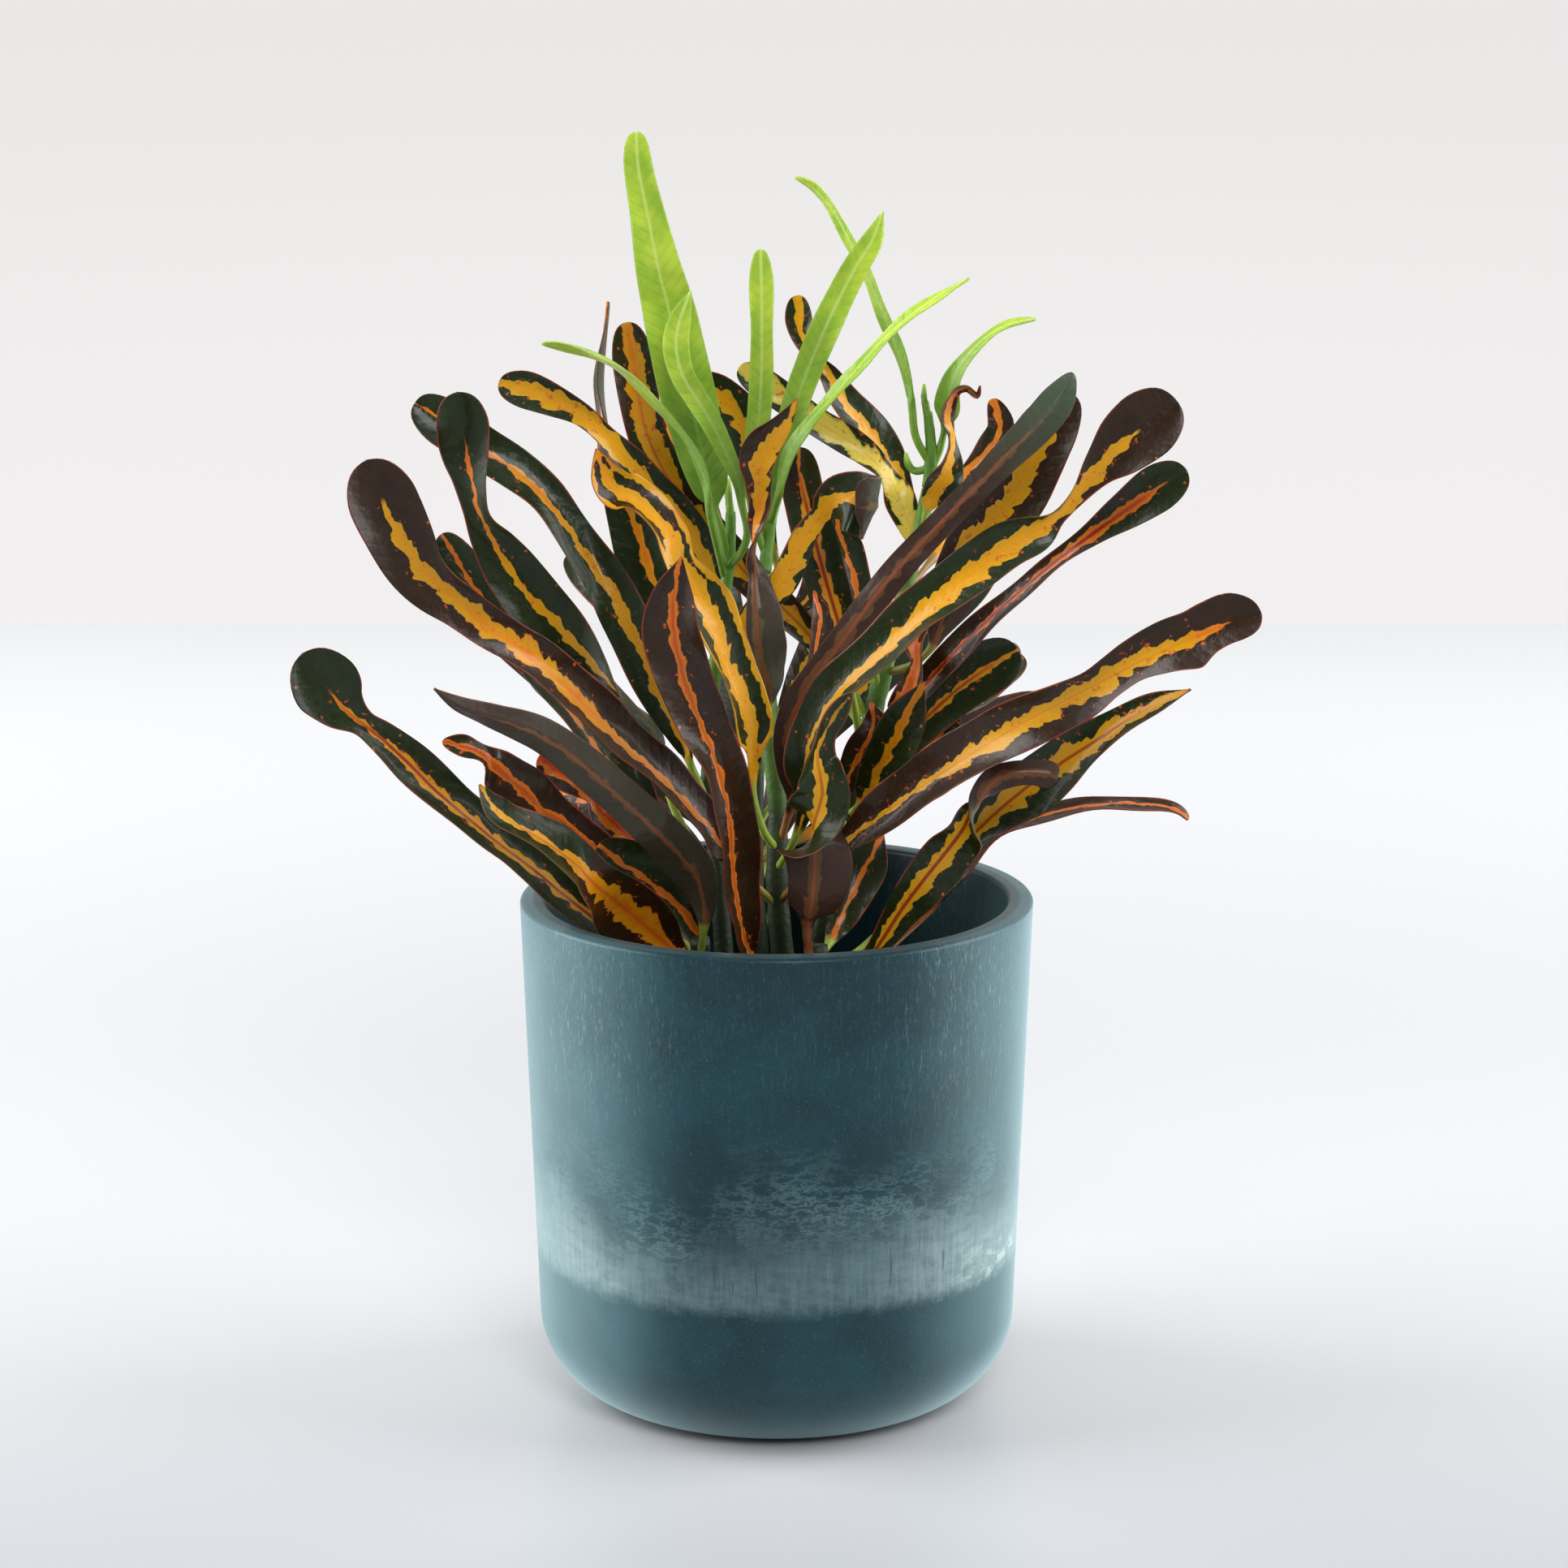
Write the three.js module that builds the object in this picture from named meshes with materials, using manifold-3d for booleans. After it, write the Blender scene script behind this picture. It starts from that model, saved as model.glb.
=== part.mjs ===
// A croton in a round pot of coloured stone composite.
// Sizes are in millimetres with +Z up. The origin is the middle of the pot's underside.
import * as THREE from "three";
import Module from "manifold-3d";

const wasm = await Module();
wasm.setup();

// The pot and its soil
const POT_HEIGHT = 140;
const RIM_RADIUS = 70;
const FOOT_RADIUS = 64.6;
const WALL = 7;
const FOOT_FILLET = 25;
const FILLET_STEPS = 6;
const RIM_EASE = 1.2;
const ROUND_STEPS = 64;
const SOIL_TOP = 111;
const SOIL_RISE = 3;
// Shares of the soil's radius and of its rise that is missing there, from the edge to the middle
const SOIL_SLOPE = [
  [1, 1],
  [0.9, 0.6],
  [0.5, 0],
  [0, 0],
];
const CLEARANCE = 0.3;

// The stems
const ROOT_END = 84;
const STEM_SIDES = 8;
const HOLE_SIDES = 16;

// The leaves: a stalk is a six-sided rod, a blade is a thin sheet folded along its midrib
const STALK_RADIUS = 1.1;
const HEXAGON_REACH = Math.sqrt(3) / 2;
const HALF_EDGE_THICKNESS = 0.36;
const HALF_MIDRIB_THICKNESS = 0.5;
const LEAST_HALF_WIDTH = 0.35;
const TIP_STEPS = 3;
const TANGENT_STEP = 0.02;

// The plant is measured as it is seen by an eye in front of the pot and a little above it.
const EYE = new THREE.Vector3(2, -1300, 458);
// The measured depths are stretched, as far back as this one, to make the plant a full bush.
const DEPTH_STRETCH = 1.6;
const LAST_STRETCHED = -15;

// Each stem point is [right, up, near, radius]. Right and up are measured where the eye's line of
// sight meets the upright plane through the pot's axis, and near is how far along that line the
// point lies in front of the plane before the stretch.
// Each stalk point is [right, up, near]. Each blade point is [right, up, near, half width, roll],
// some with a lean that makes one half of the blade wider than the other.
// A roll of 0 shows the upper face to the eye, 90 is edge on and 180 shows the underside.
// The fold is how far, in degrees, each half of the blade rises beside the midrib.
const PLANT = {
  "leafy_stem_center": {
    "stem": [
      [2.5, 112, 6, 3.3], [0.5, 135, 6, 3.1], [0, 150, 6, 2.9], [0.3, 165, 5, 2.7],
      [-1.4, 180, 4, 2.5], [-2.8, 205, 0, 2.2], [-3.2, 229, -4, 1.9],
    ],
    "leaves": {
      "front_burgundy": {
        "fold": 25,
        "stalk": [[1.5, 117, 7], [-4, 119, 13]],
        "blade": [
          [-8, 125, 18, 3, -30], [-11, 137, 23, 8, -50], [-12.5, 150, 27, 9, -50],
          [-13.5, 163, 31, 8.5, -45], [-17, 178, 35, 8, -40], [-22, 191, 38, 8, -15],
          [-26, 204, 41, 8.5, 0], [-27.7, 215, 43, 9, 15], [-27.5, 225, 44, 6, 5],
          [-25.5, 233.7, 45, 1, 0],
        ],
      },
      "waved_yellow": {
        "fold": 25,
        "stalk": [[0.2, 153, 6], [-3.5, 158, 10], [-6.5, 169, 12]],
        "blade": [
          [-6.4, 180, 14, 2.5, -20], [-7.2, 186, 15, 6.5, -30], [-9.3, 194, 17, 7.5, -40],
          [-13, 201.5, 19, 8.5, -50], [-16, 210, 21, 9, -50], [-19, 218, 22, 9, -40],
          [-22.5, 225, 22, 7, -20], [-26, 232, 21, 4.5, -10], [-29, 239, 19, 6, -40],
          [-33, 244, 18, 7, -50], [-38.5, 248.5, 17, 7, -45], [-43, 251.5, 17, 6.5, -20],
          [-46, 256, 18, 5, -10], [-48.2, 263, 19, 1.5, -10],
        ],
      },
      "spiral": {
        "fold": 15,
        "stalk": [[-1.8, 184, 4], [-2.3, 192, 8]],
        "blade": [
          [-2.1, 198.2, 11, 3.2, 178, -0.3], [-3.4, 202.6, 12, 4.6, 180, -0.4],
          [-4.6, 208, 13, 5.4, 182, -0.45], [-5.2, 213.4, 13.5, 5.3, 182, -0.42],
          [-5.4, 218.7, 13, 5, 182, -0.42], [-5.6, 223.7, 12, 4, 180, -0.4],
          [-5.8, 229, 11, 2.8, 165, -0.4], [-6.4, 235.5, 10.5, 2.2, 100], [-5.2, 243, 10.5, 2.6, 35],
          [-4.3, 248.9, 11, 3, 10], [-4.9, 254, 12, 3.7, 0], [-4.1, 258.7, 13, 4.9, 0, -0.3],
          [-1.7, 263.2, 14, 5.1, -5, -0.42], [1.4, 267.3, 15, 3.9, -5, -0.5],
          [3.5, 271.6, 15.5, 2.2, 0, -0.4], [5.5, 276.6, 16, 0.7, 0],
        ],
      },
      "long_underside": {
        "fold": 15,
        "stalk": [[1, 155, 6], [3, 162, 9]],
        "blade": [
          [5, 168, 11, 2.5, 150], [3.5, 176, 13, 3.5, 160], [3, 185, 15, 3.9, 170],
          [6, 194, 17, 4.1, 175], [12, 203, 18, 4.1, 180], [18, 211, 18, 4.1, 180],
          [24, 219.5, 17, 4.2, 185], [31, 228.5, 16, 4.2, 190], [38, 236.5, 15, 4, 190],
          [46, 245, 14, 3.8, 185], [54, 253, 13, 3.8, 180], [61.5, 261, 12, 4.4, 180],
          [69, 268.5, 11, 5, 180], [75, 276, 10, 4.8, 180], [79, 283.5, 9, 2.6, 180],
        ],
      },
      "right_paddle": {
        "fold": 25,
        "stalk": [[0.5, 148, 7], [5, 156, 14]],
        "blade": [
          [8.5, 167, 18, 3, 0], [8, 176, 22, 6, 30], [10, 185, 25, 7, 42],
          [15.5, 194.5, 27, 7.8, 45], [23, 202, 28, 8.2, 45], [31, 209.5, 28, 8.2, 42],
          [39, 217.5, 28, 8.2, 38], [47, 224.5, 28, 7.8, 28], [55, 231, 28, 7.5, 15],
          [63, 236.6, 28, 7, 5, -0.1], [69.5, 240.6, 28, 5.8, -10], [75, 245.5, 28, 3.4, -50],
          [80.5, 251.5, 28, 3.2, -40], [86, 258, 28, 5.4, -15], [92, 263.5, 28, 8.8, 0],
          [98.5, 269.3, 28, 10.2, 0], [106.5, 276.5, 28, 9.6, 0],
        ],
      },
      "arched_yellow": {
        "fold": 8,
        "stalk": [[-2.9, 203, 0], [-7, 207, 5]],
        "blade": [
          [-9.5, 213.5, 6, 2.5, 0], [-5, 220, 6, 3.4, 0], [1.1, 226.2, 6, 4, -10],
          [4.3, 232.7, 6, 4, -20], [7.5, 239.3, 6, 3.6, -20], [10.4, 243.8, 6, 2.8, -15],
          [12.2, 245.7, 6.5, 3, -10], [14.4, 248.3, 8, 5.4, -5, 0.1], [17.1, 249.6, 9.5, 7.2, 0, 0.1],
          [20.6, 249.4, 11, 8.4, 5, 0.1], [24.1, 248.5, 12, 8.8, -12, 0.1],
          [26.5, 247.5, 14, 8.8, -73, 0.1], [24.1, 247.4, 16, 8.2, -163, 0.05],
          [21.2, 247.1, 16.5, 7.2, -168, 0],
        ],
      },
      "big_right_arm": {
        "fold": 25,
        "stalk": [[1.5, 139, 7], [8, 146, 17], [15, 152, 23]],
        "blade": [
          [20, 156, 26, 3.5, 10], [28, 162, 30, 6.5, 20], [36.5, 168, 34, 8, 30],
          [45, 174, 38, 8.4, 30], [53, 179.3, 41, 8.4, 30], [61.4, 184.7, 44, 8.2, 15],
          [69.4, 189.8, 47, 8.2, -5], [77.4, 194.3, 50, 8, -25], [85.5, 198.5, 53, 6.4, -15, 0.12],
          [91.5, 201.5, 55, 6, -5, -0.05], [98, 205, 57, 6.4, 0, -0.18], [106, 208.8, 59, 7.8, 5, -0.05],
          [113, 211.8, 60, 8.8, 8, 0.12], [118, 213.8, 61, 7.6, 8, -0.12], [123.5, 216.2, 62, 7.4, 5, -0.15],
          [130.8, 218, 63, 6.6, 5],
        ],
      },
      "left_yellow_paddle": {
        "fold": 25,
        "stalk": [[0.3, 137, 6], [-6, 143, 10], [-11, 149, 12]],
        "blade": [
          [-14.5, 153.3, 13, 4, -10], [-20, 160.5, 15, 6.5, -40], [-26, 166.8, 17, 7.5, -50],
          [-33, 173.8, 19, 8.3, -50], [-41, 180.8, 21, 8.8, -50], [-49, 189, 24, 8.6, -45],
          [-57, 197.3, 27, 8, -40], [-64.5, 204.7, 30, 6.6, -30], [-72, 210.3, 32, 6.1, -15],
          [-79, 215.5, 34, 6.3, 0], [-86, 222, 36, 6.8, 10, -0.08], [-92, 227.3, 38, 7.6, 20, -0.12],
          [-97.8, 233, 39, 9, 10], [-102.2, 241.3, 40, 10, 0], [-106, 250, 41, 10.4, 0],
          [-109.8, 260, 42, 9.4, 0],
        ],
      },
      "slim_pink": {
        "fold": 20,
        "stalk": [[-1.8, 183, 3], [2, 188, 1]],
        "blade": [
          [5, 194, -1, 3, -70], [8, 202, -2, 4, -60], [10.5, 210, -3, 4, -50],
          [11.5, 217, -3, 3.5, -40], [10, 224.5, -3, 0.8, -30],
        ],
      },
    },
  },
  "leafy_stem_left": {
    "stem": [
      [-14, 114, -1, 2.9], [-16, 146, -3, 2.5], [-17.5, 160, -4, 2.3],
      [-18.5, 176, -6, 2.1], [-17, 200, -7, 1.9], [-14, 221.8, -8, 1.8],
    ],
    "leaves": {
      "twisted_green_paddle": {
        "fold": 20,
        "stalk": [[-16.3, 147, -4], [-22, 153.5, -6], [-27.5, 163.5, -6], [-31, 174, -6]],
        "blade": [
          [-33, 183.5, -5, 4, 150], [-37, 190.5, -4, 6, 120], [-43.5, 198, -3, 7, 80],
          [-51, 206.5, -1, 7.5, 40], [-59, 215, 1, 8, 10], [-66, 222.5, 3, 8.4, 0],
          [-72, 231, 5, 7.8, 0], [-76.5, 239, 7, 6, 10], [-79.5, 246.5, 9, 4.5, 40],
          [-81.2, 254, 11, 6, 45], [-82.7, 261.5, 12, 7, 20], [-84, 269.5, 13, 7.6, 0],
          [-85.2, 278.3, 14, 7.4, 0],
        ],
      },
      "striped_paddle": {
        "fold": 22,
        "stalk": [[-17.8, 163, -4], [-20.5, 170, -4], [-23.5, 177, -3]],
        "blade": [
          [-25, 182.5, -2, 3, 35], [-28, 190, -1, 5.5, 30], [-31.8, 198.5, -1, 6.5, 25],
          [-36, 208, -1, 7, 20], [-41, 218, -1, 7, 10], [-46, 226.5, -2, 6.5, -10],
          [-51.5, 234.5, -3, 6, -20], [-57, 242.5, -4, 5.8, -25], [-63, 250.5, -5, 6, -25],
          [-71, 257.5, -6, 6.5, -20], [-80, 263.5, -7, 6.5, -10], [-88, 269.5, -8, 7, 0],
          [-96.5, 275.5, -9, 6.5, 0],
        ],
      },
      "hidden_sweep": {
        "fold": 22,
        "stalk": [[-15.2, 139, -2], [-21, 143, -10], [-27, 152, -14]],
        "blade": [
          [-33, 160, -17, 3, -10], [-39, 168.5, -19, 6, -25], [-45.5, 176.5, -20, 7, -40],
          [-51.5, 184.5, -21, 7, -45], [-58, 193.7, -22, 6.5, -45], [-66, 204, -23, 6, -30],
          [-75, 216, -24, 6, -10], [-83, 228, -25, 6.5, 0], [-90, 240, -26, 5.5, 0],
        ],
      },
      "green_gold_arm": {
        "fold": 18,
        "stalk": [[-15.2, 211, -7], [-15.2, 219, -11]],
        "blade": [
          [-16.2, 226, -12, 3, 0], [-19, 232.7, -13, 4.5, 0], [-23, 240.5, -13, 5, 0],
          [-28, 247.3, -12, 5, 0], [-33.5, 252.8, -11, 5, 0], [-39.5, 259.5, -10, 4.5, -10],
          [-46, 266.3, -9, 3.2, -20], [-52, 272, -8, 3.2, -10], [-59.5, 276, -7, 4.5, 0],
          [-66.5, 278.8, -6, 5.3, 0], [-74.2, 280.6, -5, 5, 0],
        ],
      },
      "left_back_high": {
        "fold": 20,
        "stalk": [[-17.8, 190, -7], [-22, 199, -22]],
        "blade": [
          [-27, 207, -33, 4, 0], [-35, 216, -44, 6.5, 10], [-43, 224, -56, 7, 15],
          [-50, 229.5, -68, 6, 10], [-55.5, 234.5, -79, 4.4, 0],
        ],
      },
      "left_back_low": {
        "fold": 20,
        "stalk": [[-18, 168, -5], [-25, 174, -19]],
        "blade": [
          [-33, 180, -31, 4, 0], [-42, 187, -43, 6.8, 15], [-51, 194, -55, 7.2, 20],
          [-60, 201, -67, 6.4, 10], [-67, 207, -78, 5, 0],
        ],
      },
      "green_edge_on": {
        "fold": 15,
        "stalk": [[-17.3, 196, -7], [-20, 202, -13], [-24, 209, -18]],
        "blade": [
          [-27.5, 214, -20, 3.5, 10], [-31, 222, -21, 6.5, 15], [-34, 230.5, -22, 8, 15],
          [-36.2, 238, -22, 8, 15], [-39, 246.5, -22, 7, 20], [-42.5, 257, -22, 5.5, 45],
          [-45.5, 268, -22, 5, 75], [-46.8, 279, -21, 4.5, 85], [-46.2, 290, -20, 3, 88],
          [-44.8, 302.5, -19, 0.8, 88],
        ],
      },
    },
  },
  "leafy_stem_right": {
    "stem": [
      [10.2, 118, -15, 3.3], [15, 145, -17, 3.1], [22, 172, -19, 2.9],
      [26, 190, -20, 2.8], [29.5, 205, -21, 2.6], [34, 222, -23, 2.3], [38, 238, -24, 2.1],
      [40.6, 252, -25, 1.9],
    ],
    "leaves": {
      "orange_spear": {
        "fold": 18,
        "stalk": [[25.5, 187, -20], [20, 198, -19], [15, 205, -18]],
        "blade": [
          [10, 211, -17, 3, 0], [3, 218.5, -17, 4.5, 0], [-5.5, 226.5, -17, 5, 0],
          [-13.5, 235, -17, 5.5, 0], [-20.5, 242.5, -17, 6, 0], [-26.5, 251, -17, 6.5, 0],
          [-31, 258.5, -17, 6, 0], [-34.8, 267.5, -17, 5.5, 0], [-36.8, 277, -17, 5.7, 0],
          [-38, 286, -17, 6, 0], [-40, 297, -17, 5.5, 0],
        ],
      },
      "red_ribbed": {
        "fold": 18,
        "stalk": [[23.5, 178, -19], [21.5, 190, -14], [20, 199, -11]],
        "blade": [
          [19, 206, -10, 3, 0], [17, 214.5, -10, 5, 0], [14.5, 223, -10, 6, 0],
          [12, 232, -10, 6.2, 0], [9.8, 240.5, -10, 6.2, 0], [7.8, 248.5, -10, 6, 0],
          [6.3, 255.5, -10, 5.8, 0], [5.8, 263.5, -10, 5.5, 0],
        ],
      },
      "gold_arc": {
        "fold": 15,
        "stalk": [[36, 230, -24], [36.6, 236, -27]],
        "blade": [
          [36, 241, -28, 3, 0], [33, 249, -29, 4.5, -10], [29.5, 255.5, -30, 3.6, -50],
          [24.5, 261, -31, 3.8, -20], [18, 266, -32, 4.2, 0], [10.5, 270.5, -33, 4, 0],
          [3, 276, -34, 4.2, 0], [-3.5, 280.5, -35, 4.4, 0], [-10, 285, -35, 4.2, 0],
        ],
      },
      "waisted_green": {
        "fold": 20,
        "stalk": [[37.9, 238.5, -24], [37.4, 243, -33]],
        "blade": [
          [34.6, 248.5, -38, 3, -30], [30, 257.5, -38, 6, -40], [26, 264.5, -39, 6.5, -40],
          [21.5, 270.5, -40, 6.5, -40], [17.3, 276.5, -41, 5, -35], [14, 282.5, -42, 3, -20],
          [11, 287.5, -43, 2, 30], [8, 292, -44, 3, 30], [6.3, 297.5, -45, 4, 20],
          [5.7, 304.2, -45, 3.8, 10],
        ],
      },
      "broad_burgundy": {
        "fold": 20,
        "stalk": [[29.5, 205, -21], [35, 214, -17], [41, 223, -14]],
        "blade": [
          [46, 229.5, -12, 4, 0], [52, 237, -11, 7, 0], [58, 243.5, -11, 9, 0],
          [63.5, 251, -11, 9.8, 0], [68, 260, -11, 9.6, 0], [72.5, 268, -11, 8.6, 0],
          [79, 278, -11, 7, 0],
        ],
      },
      "red_narrow_paddle": {
        "fold": 20,
        "stalk": [[24.5, 183, -20], [29, 187, -14], [34, 191.5, -9]],
        "blade": [
          [39, 197, -6, 3.5, 20], [46, 205, -4, 4.6, 30], [53.5, 212.7, -2, 4.2, 30],
          [61.5, 220.3, 0, 3.6, 35], [69.5, 227.3, 2, 3.2, 40], [77.5, 234, 4, 3, 35],
          [85.5, 240.3, 5, 3.6, 15], [93.5, 246.2, 6, 5.4, 0], [101.5, 252, 7, 6.8, 0],
          [109.8, 257.4, 8, 6.6, 0],
        ],
      },
      "round_green": {
        "fold": 18,
        "stalk": [[20.5, 166, -18], [25, 172, -16]],
        "blade": [
          [30, 178, -15, 3, 0], [36, 185, -15, 5.5, 0], [43, 192, -15, 6.5, 0],
          [50, 198.3, -15, 7.2, 0], [57, 203.3, -15, 7.8, 0], [65.3, 208.3, -15, 7.4, 0],
        ],
      },
      "small_orange": {
        "fold": 15,
        "stalk": [[18.5, 160, -18], [24, 167, -24]],
        "blade": [
          [30, 174, -27, 3, 0], [36.5, 181, -28, 5, 0], [42.5, 186, -28, 5.2, 0],
          [49, 191, -28, 4.8, 0],
        ],
      },
      "white_sheen": {
        "fold": 22,
        "stalk": [[20, 163, -18], [22.5, 165.5, -8]],
        "blade": [
          [25, 169, -3, 4, 0], [28.3, 176, 1, 6, 0], [32, 183, 4, 6.8, -5],
          [35.5, 191, 6, 6, -5], [40, 199.5, 7, 1, 0],
        ],
      },
      "twisted_orange": {
        "fold": 12,
        "stalk": [[26.6, 192, -20], [29, 190, -10]],
        "blade": [
          [31.5, 190.5, -3, 2.5, 30], [34.5, 195, 0, 3.5, 30], [37.3, 201, -2, 3.6, 40],
          [38.2, 206.5, -4, 3, 60], [37.5, 212, -8, 3.5, 30], [39, 219, -11, 3, 10],
          [42, 226, -12, 1, 0],
        ],
      },
      "dark_inner": {
        "fold": 18,
        "stalk": [[18.5, 157, -17], [17.5, 165, -10]],
        "blade": [
          [19, 172, -6, 3, 0], [23, 180, -4, 5, 0], [26, 187, -4, 4.5, -20],
          [25.5, 194, -5, 1, -30],
        ],
      },
      "small_underside": {
        "fold": 15,
        "stalk": [[29.2, 202, -21], [36.5, 204, -15], [41.5, 208.5, -13]],
        "blade": [
          [43.5, 213.5, -13, 3, 180], [46, 219, -13, 5, 180], [49.5, 225.5, -13, 5, 180],
          [54, 232, -13, 1.5, 180],
        ],
      },
      "far_bud_leaf": {
        "fold": 15,
        "stalk": [[40.2, 248, -25], [46, 252.5, -32]],
        "blade": [
          [52, 257.5, -36, 2.5, 0], [57, 263, -38, 4, 0], [60, 269, -39, 3.8, 0],
          [57.5, 276.5, -40, 3, 0],
        ],
      },
      "dark_behind_fold": {
        "fold": 18,
        "stalk": [[28, 197, -20], [25.5, 206, -16]],
        "blade": [
          [23.5, 214, -15, 3, 0], [21.8, 223, -15, 4.5, -20], [19.5, 232, -15, 5, -30],
          [17, 240, -15, 4.5, -10], [15.5, 249, -15, 2, 0],
        ],
      },
      "right_back_high": {
        "fold": 20,
        "stalk": [[34.5, 224, -23], [41, 232, -35]],
        "blade": [
          [47, 239.5, -45, 4, 0], [54, 247, -56, 6.5, -10], [60.5, 253, -67, 7, -15],
          [66, 257.5, -78, 6.4, -10], [71, 261, -89, 5, 0],
        ],
      },
      "right_back_low": {
        "fold": 20,
        "stalk": [[21.8, 171, -19], [31, 181, -33]],
        "blade": [
          [40, 189, -43, 4, 0], [49, 196.5, -54, 6.6, -15], [56, 201, -65, 6.6, -20],
          [61.5, 204.5, -76, 5.6, -10], [66, 207, -86, 4.2, 0],
        ],
      },
      "withered_hook": {
        "fold": 15,
        "stalk": [[39, 241, -24], [40.2, 246, -22]],
        "blade": [
          [42, 250, -21, 3.5, -10], [44.5, 254.5, -20, 5, -20], [46.3, 260, -20, 4, -50],
          [46.7, 266.5, -20, 2.2, -70], [45.5, 272.5, -18, 2.6, -40], [47.4, 278.3, -16.5, 1.6, -50],
          [50.9, 279.5, -16, 1, -50], [53.5, 277.2, -16, 0.8, 0], [54.3, 280, -16, 0.6, 0],
        ],
      },
      "dark_behind_tall": {
        "fold": 18,
        "stalk": [[24.9, 185, -20], [14, 200, -28], [5, 218, -32], [0, 232, -34]],
        "blade": [
          [-3, 243, -34, 3, 0], [-4, 254, -33, 5, 0], [-6.5, 264, -32, 6, 0],
          [-10.5, 272, -31, 6.5, 0], [-16, 277.5, -30, 6, 0], [-22.5, 282, -29, 5, 0],
        ],
      },
    },
  },
  "leafy_stem_front_left": {
    "stem": [[-20, 109, 16, 3.1], [-21, 128, 17, 2.6]],
    "leaves": {
      "low_left_paddle": {
        "fold": 22,
        "stalk": [[-20, 117, 16], [-30, 121, 13.5]],
        "blade": [
          [-40, 126.5, 13, 3, -20], [-49, 132.5, 14, 6, -30], [-58, 139.8, 17, 7.2, -32],
          [-66.5, 147, 19, 7.6, -40], [-75.5, 154, 20, 7.6, -45], [-84, 161.2, 23, 7.4, -45],
          [-92.5, 168.8, 26, 7, -35], [-100.5, 177.2, 29, 6.6, -25], [-107.5, 184, 32, 5, -15],
          [-112.7, 188.2, 33, 4, -10], [-117.8, 192.7, 34, 7.2, 0], [-121.8, 198.5, 35, 10.1, 0],
          [-128.1, 207.3, 36, 9.6, 0],
        ],
      },
      "pot_edge_orange": {
        "fold": 20,
        "stalk": [[-20.3, 116, 16], [-24, 119, 21]],
        "blade": [
          [-28, 124.5, 20, 4, 10], [-33.5, 129.5, 21, 8.5, 15], [-39, 134.5, 23, 10, 15],
          [-44.5, 139, 27, 9.5, 10], [-50, 143.3, 34, 7, -15], [-55, 148.5, 37, 7.5, -40],
          [-60.5, 152.8, 40, 8, -50], [-66.5, 156.8, 42, 7, -50], [-72.5, 160.5, 44, 5.5, -45],
          [-77.5, 164.8, 46, 4, -35], [-80.7, 171, 47, 0.8, -30],
        ],
      },
      "inner_green_orange": {
        "fold": 20,
        "stalk": [[-20.5, 121, 16], [-20, 124.5, 14]],
        "blade": [
          [-21.5, 129, 13, 3.5, 0], [-25.5, 135, 13, 6.5, -10], [-30.3, 140.3, 13, 8, -15],
          [-36, 144.8, 13, 8.3, -15], [-42, 149, 13, 7.5, -10], [-48.5, 154.3, 13, 5.5, -5],
        ],
      },
      "olive_underside": {
        "fold": 15,
        "stalk": [[-21, 123, 17], [-20, 130, 21]],
        "blade": [
          [-19.8, 137, 22, 3.5, 180], [-21.5, 144.5, 23.5, 6, 180], [-26, 151, 27, 6.4, 185],
          [-32, 157.3, 33, 6.2, 190], [-38.5, 163.7, 36, 6, 190], [-46, 170.4, 40, 5.8, 190],
          [-53.8, 177.5, 44, 5.6, 190], [-61.8, 183.3, 48, 5.2, 195], [-69.7, 187.3, 52, 4.6, 200],
          [-77, 189.8, 56, 3.8, 205], [-85, 192.6, 60, 2.4, 205], [-92.5, 197.5, 64, 0.8, 200],
        ],
      },
      "dark_red_twist": {
        "fold": 18,
        "stalk": [[-20.8, 119, 16], [-30, 126, 10], [-38, 135, 7]],
        "blade": [
          [-42, 143, 6, 3, 0], [-46.5, 151, 7, 4.8, -10], [-54, 157, 8, 5.2, -20],
          [-61.9, 162.7, 9, 6.5, -10], [-68.7, 168.8, 10, 8, 0], [-75, 174.5, 11, 6.5, 0],
          [-79.5, 179, 12, 3.5, -50], [-85, 181.5, 13, 3.6, -25], [-90.6, 183, 14, 2.2, 0],
        ],
      },
      "pink_behind": {
        "fold": 15,
        "stalk": [[-20.8, 121, 15], [-27, 132, 3], [-34, 146, -3]],
        "blade": [
          [-38, 154, -5, 3, 0], [-42.5, 159.5, -6, 5, 0], [-46.5, 163, -6, 5, -10],
          [-50.5, 167.5, -7, 3, -40], [-55, 172, -7, 4.5, -10], [-59.5, 175.5, -8, 5.2, 0],
          [-64.5, 179, -8, 4.5, 0],
        ],
      },
    },
  },
  "leafy_stem_front_right": {
    "stem": [[12, 107, 24, 3], [11.5, 126, 24, 2.4]],
    "leaves": {
      "folded_burgundy": {
        "fold": 20,
        "stalk": [[11.6, 118, 24], [9, 122, 31]],
        "blade": [
          [8.5, 132.2, 32.5, 2.2, 180], [9, 134.4, 33.5, 6.4, 180], [9.7, 138.6, 34.5, 8.2, 180, -0.12],
          [10.2, 145.2, 35.2, 9.4, 178, -0.2], [10.4, 150.4, 36, 10, 172, -0.1],
          [10.3, 153.8, 36.8, 10.2, 150], [10.3, 156.2, 38, 9.8, 115], [10.4, 158.4, 39.4, 9.4, 80],
          [10.7, 160.9, 40.8, 9.2, 45], [11.5, 164.2, 42, 9, 15], [12.4, 168.9, 42.5, 8.2, 0],
          [11.7, 173.8, 42.5, 6.8, -10], [10.8, 178.7, 42.5, 5.4, -35], [12, 184.2, 43, 4.4, -50],
          [15.4, 189.9, 44, 3.6, -30], [18.4, 193.9, 45, 2.4, -10], [20.6, 196.6, 46, 0.8, 0],
        ],
      },
      "front_right_flap": {
        "fold": 12,
        "stalk": [[11.8, 116, 24], [18.5, 118, 25]],
        "blade": [
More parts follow.
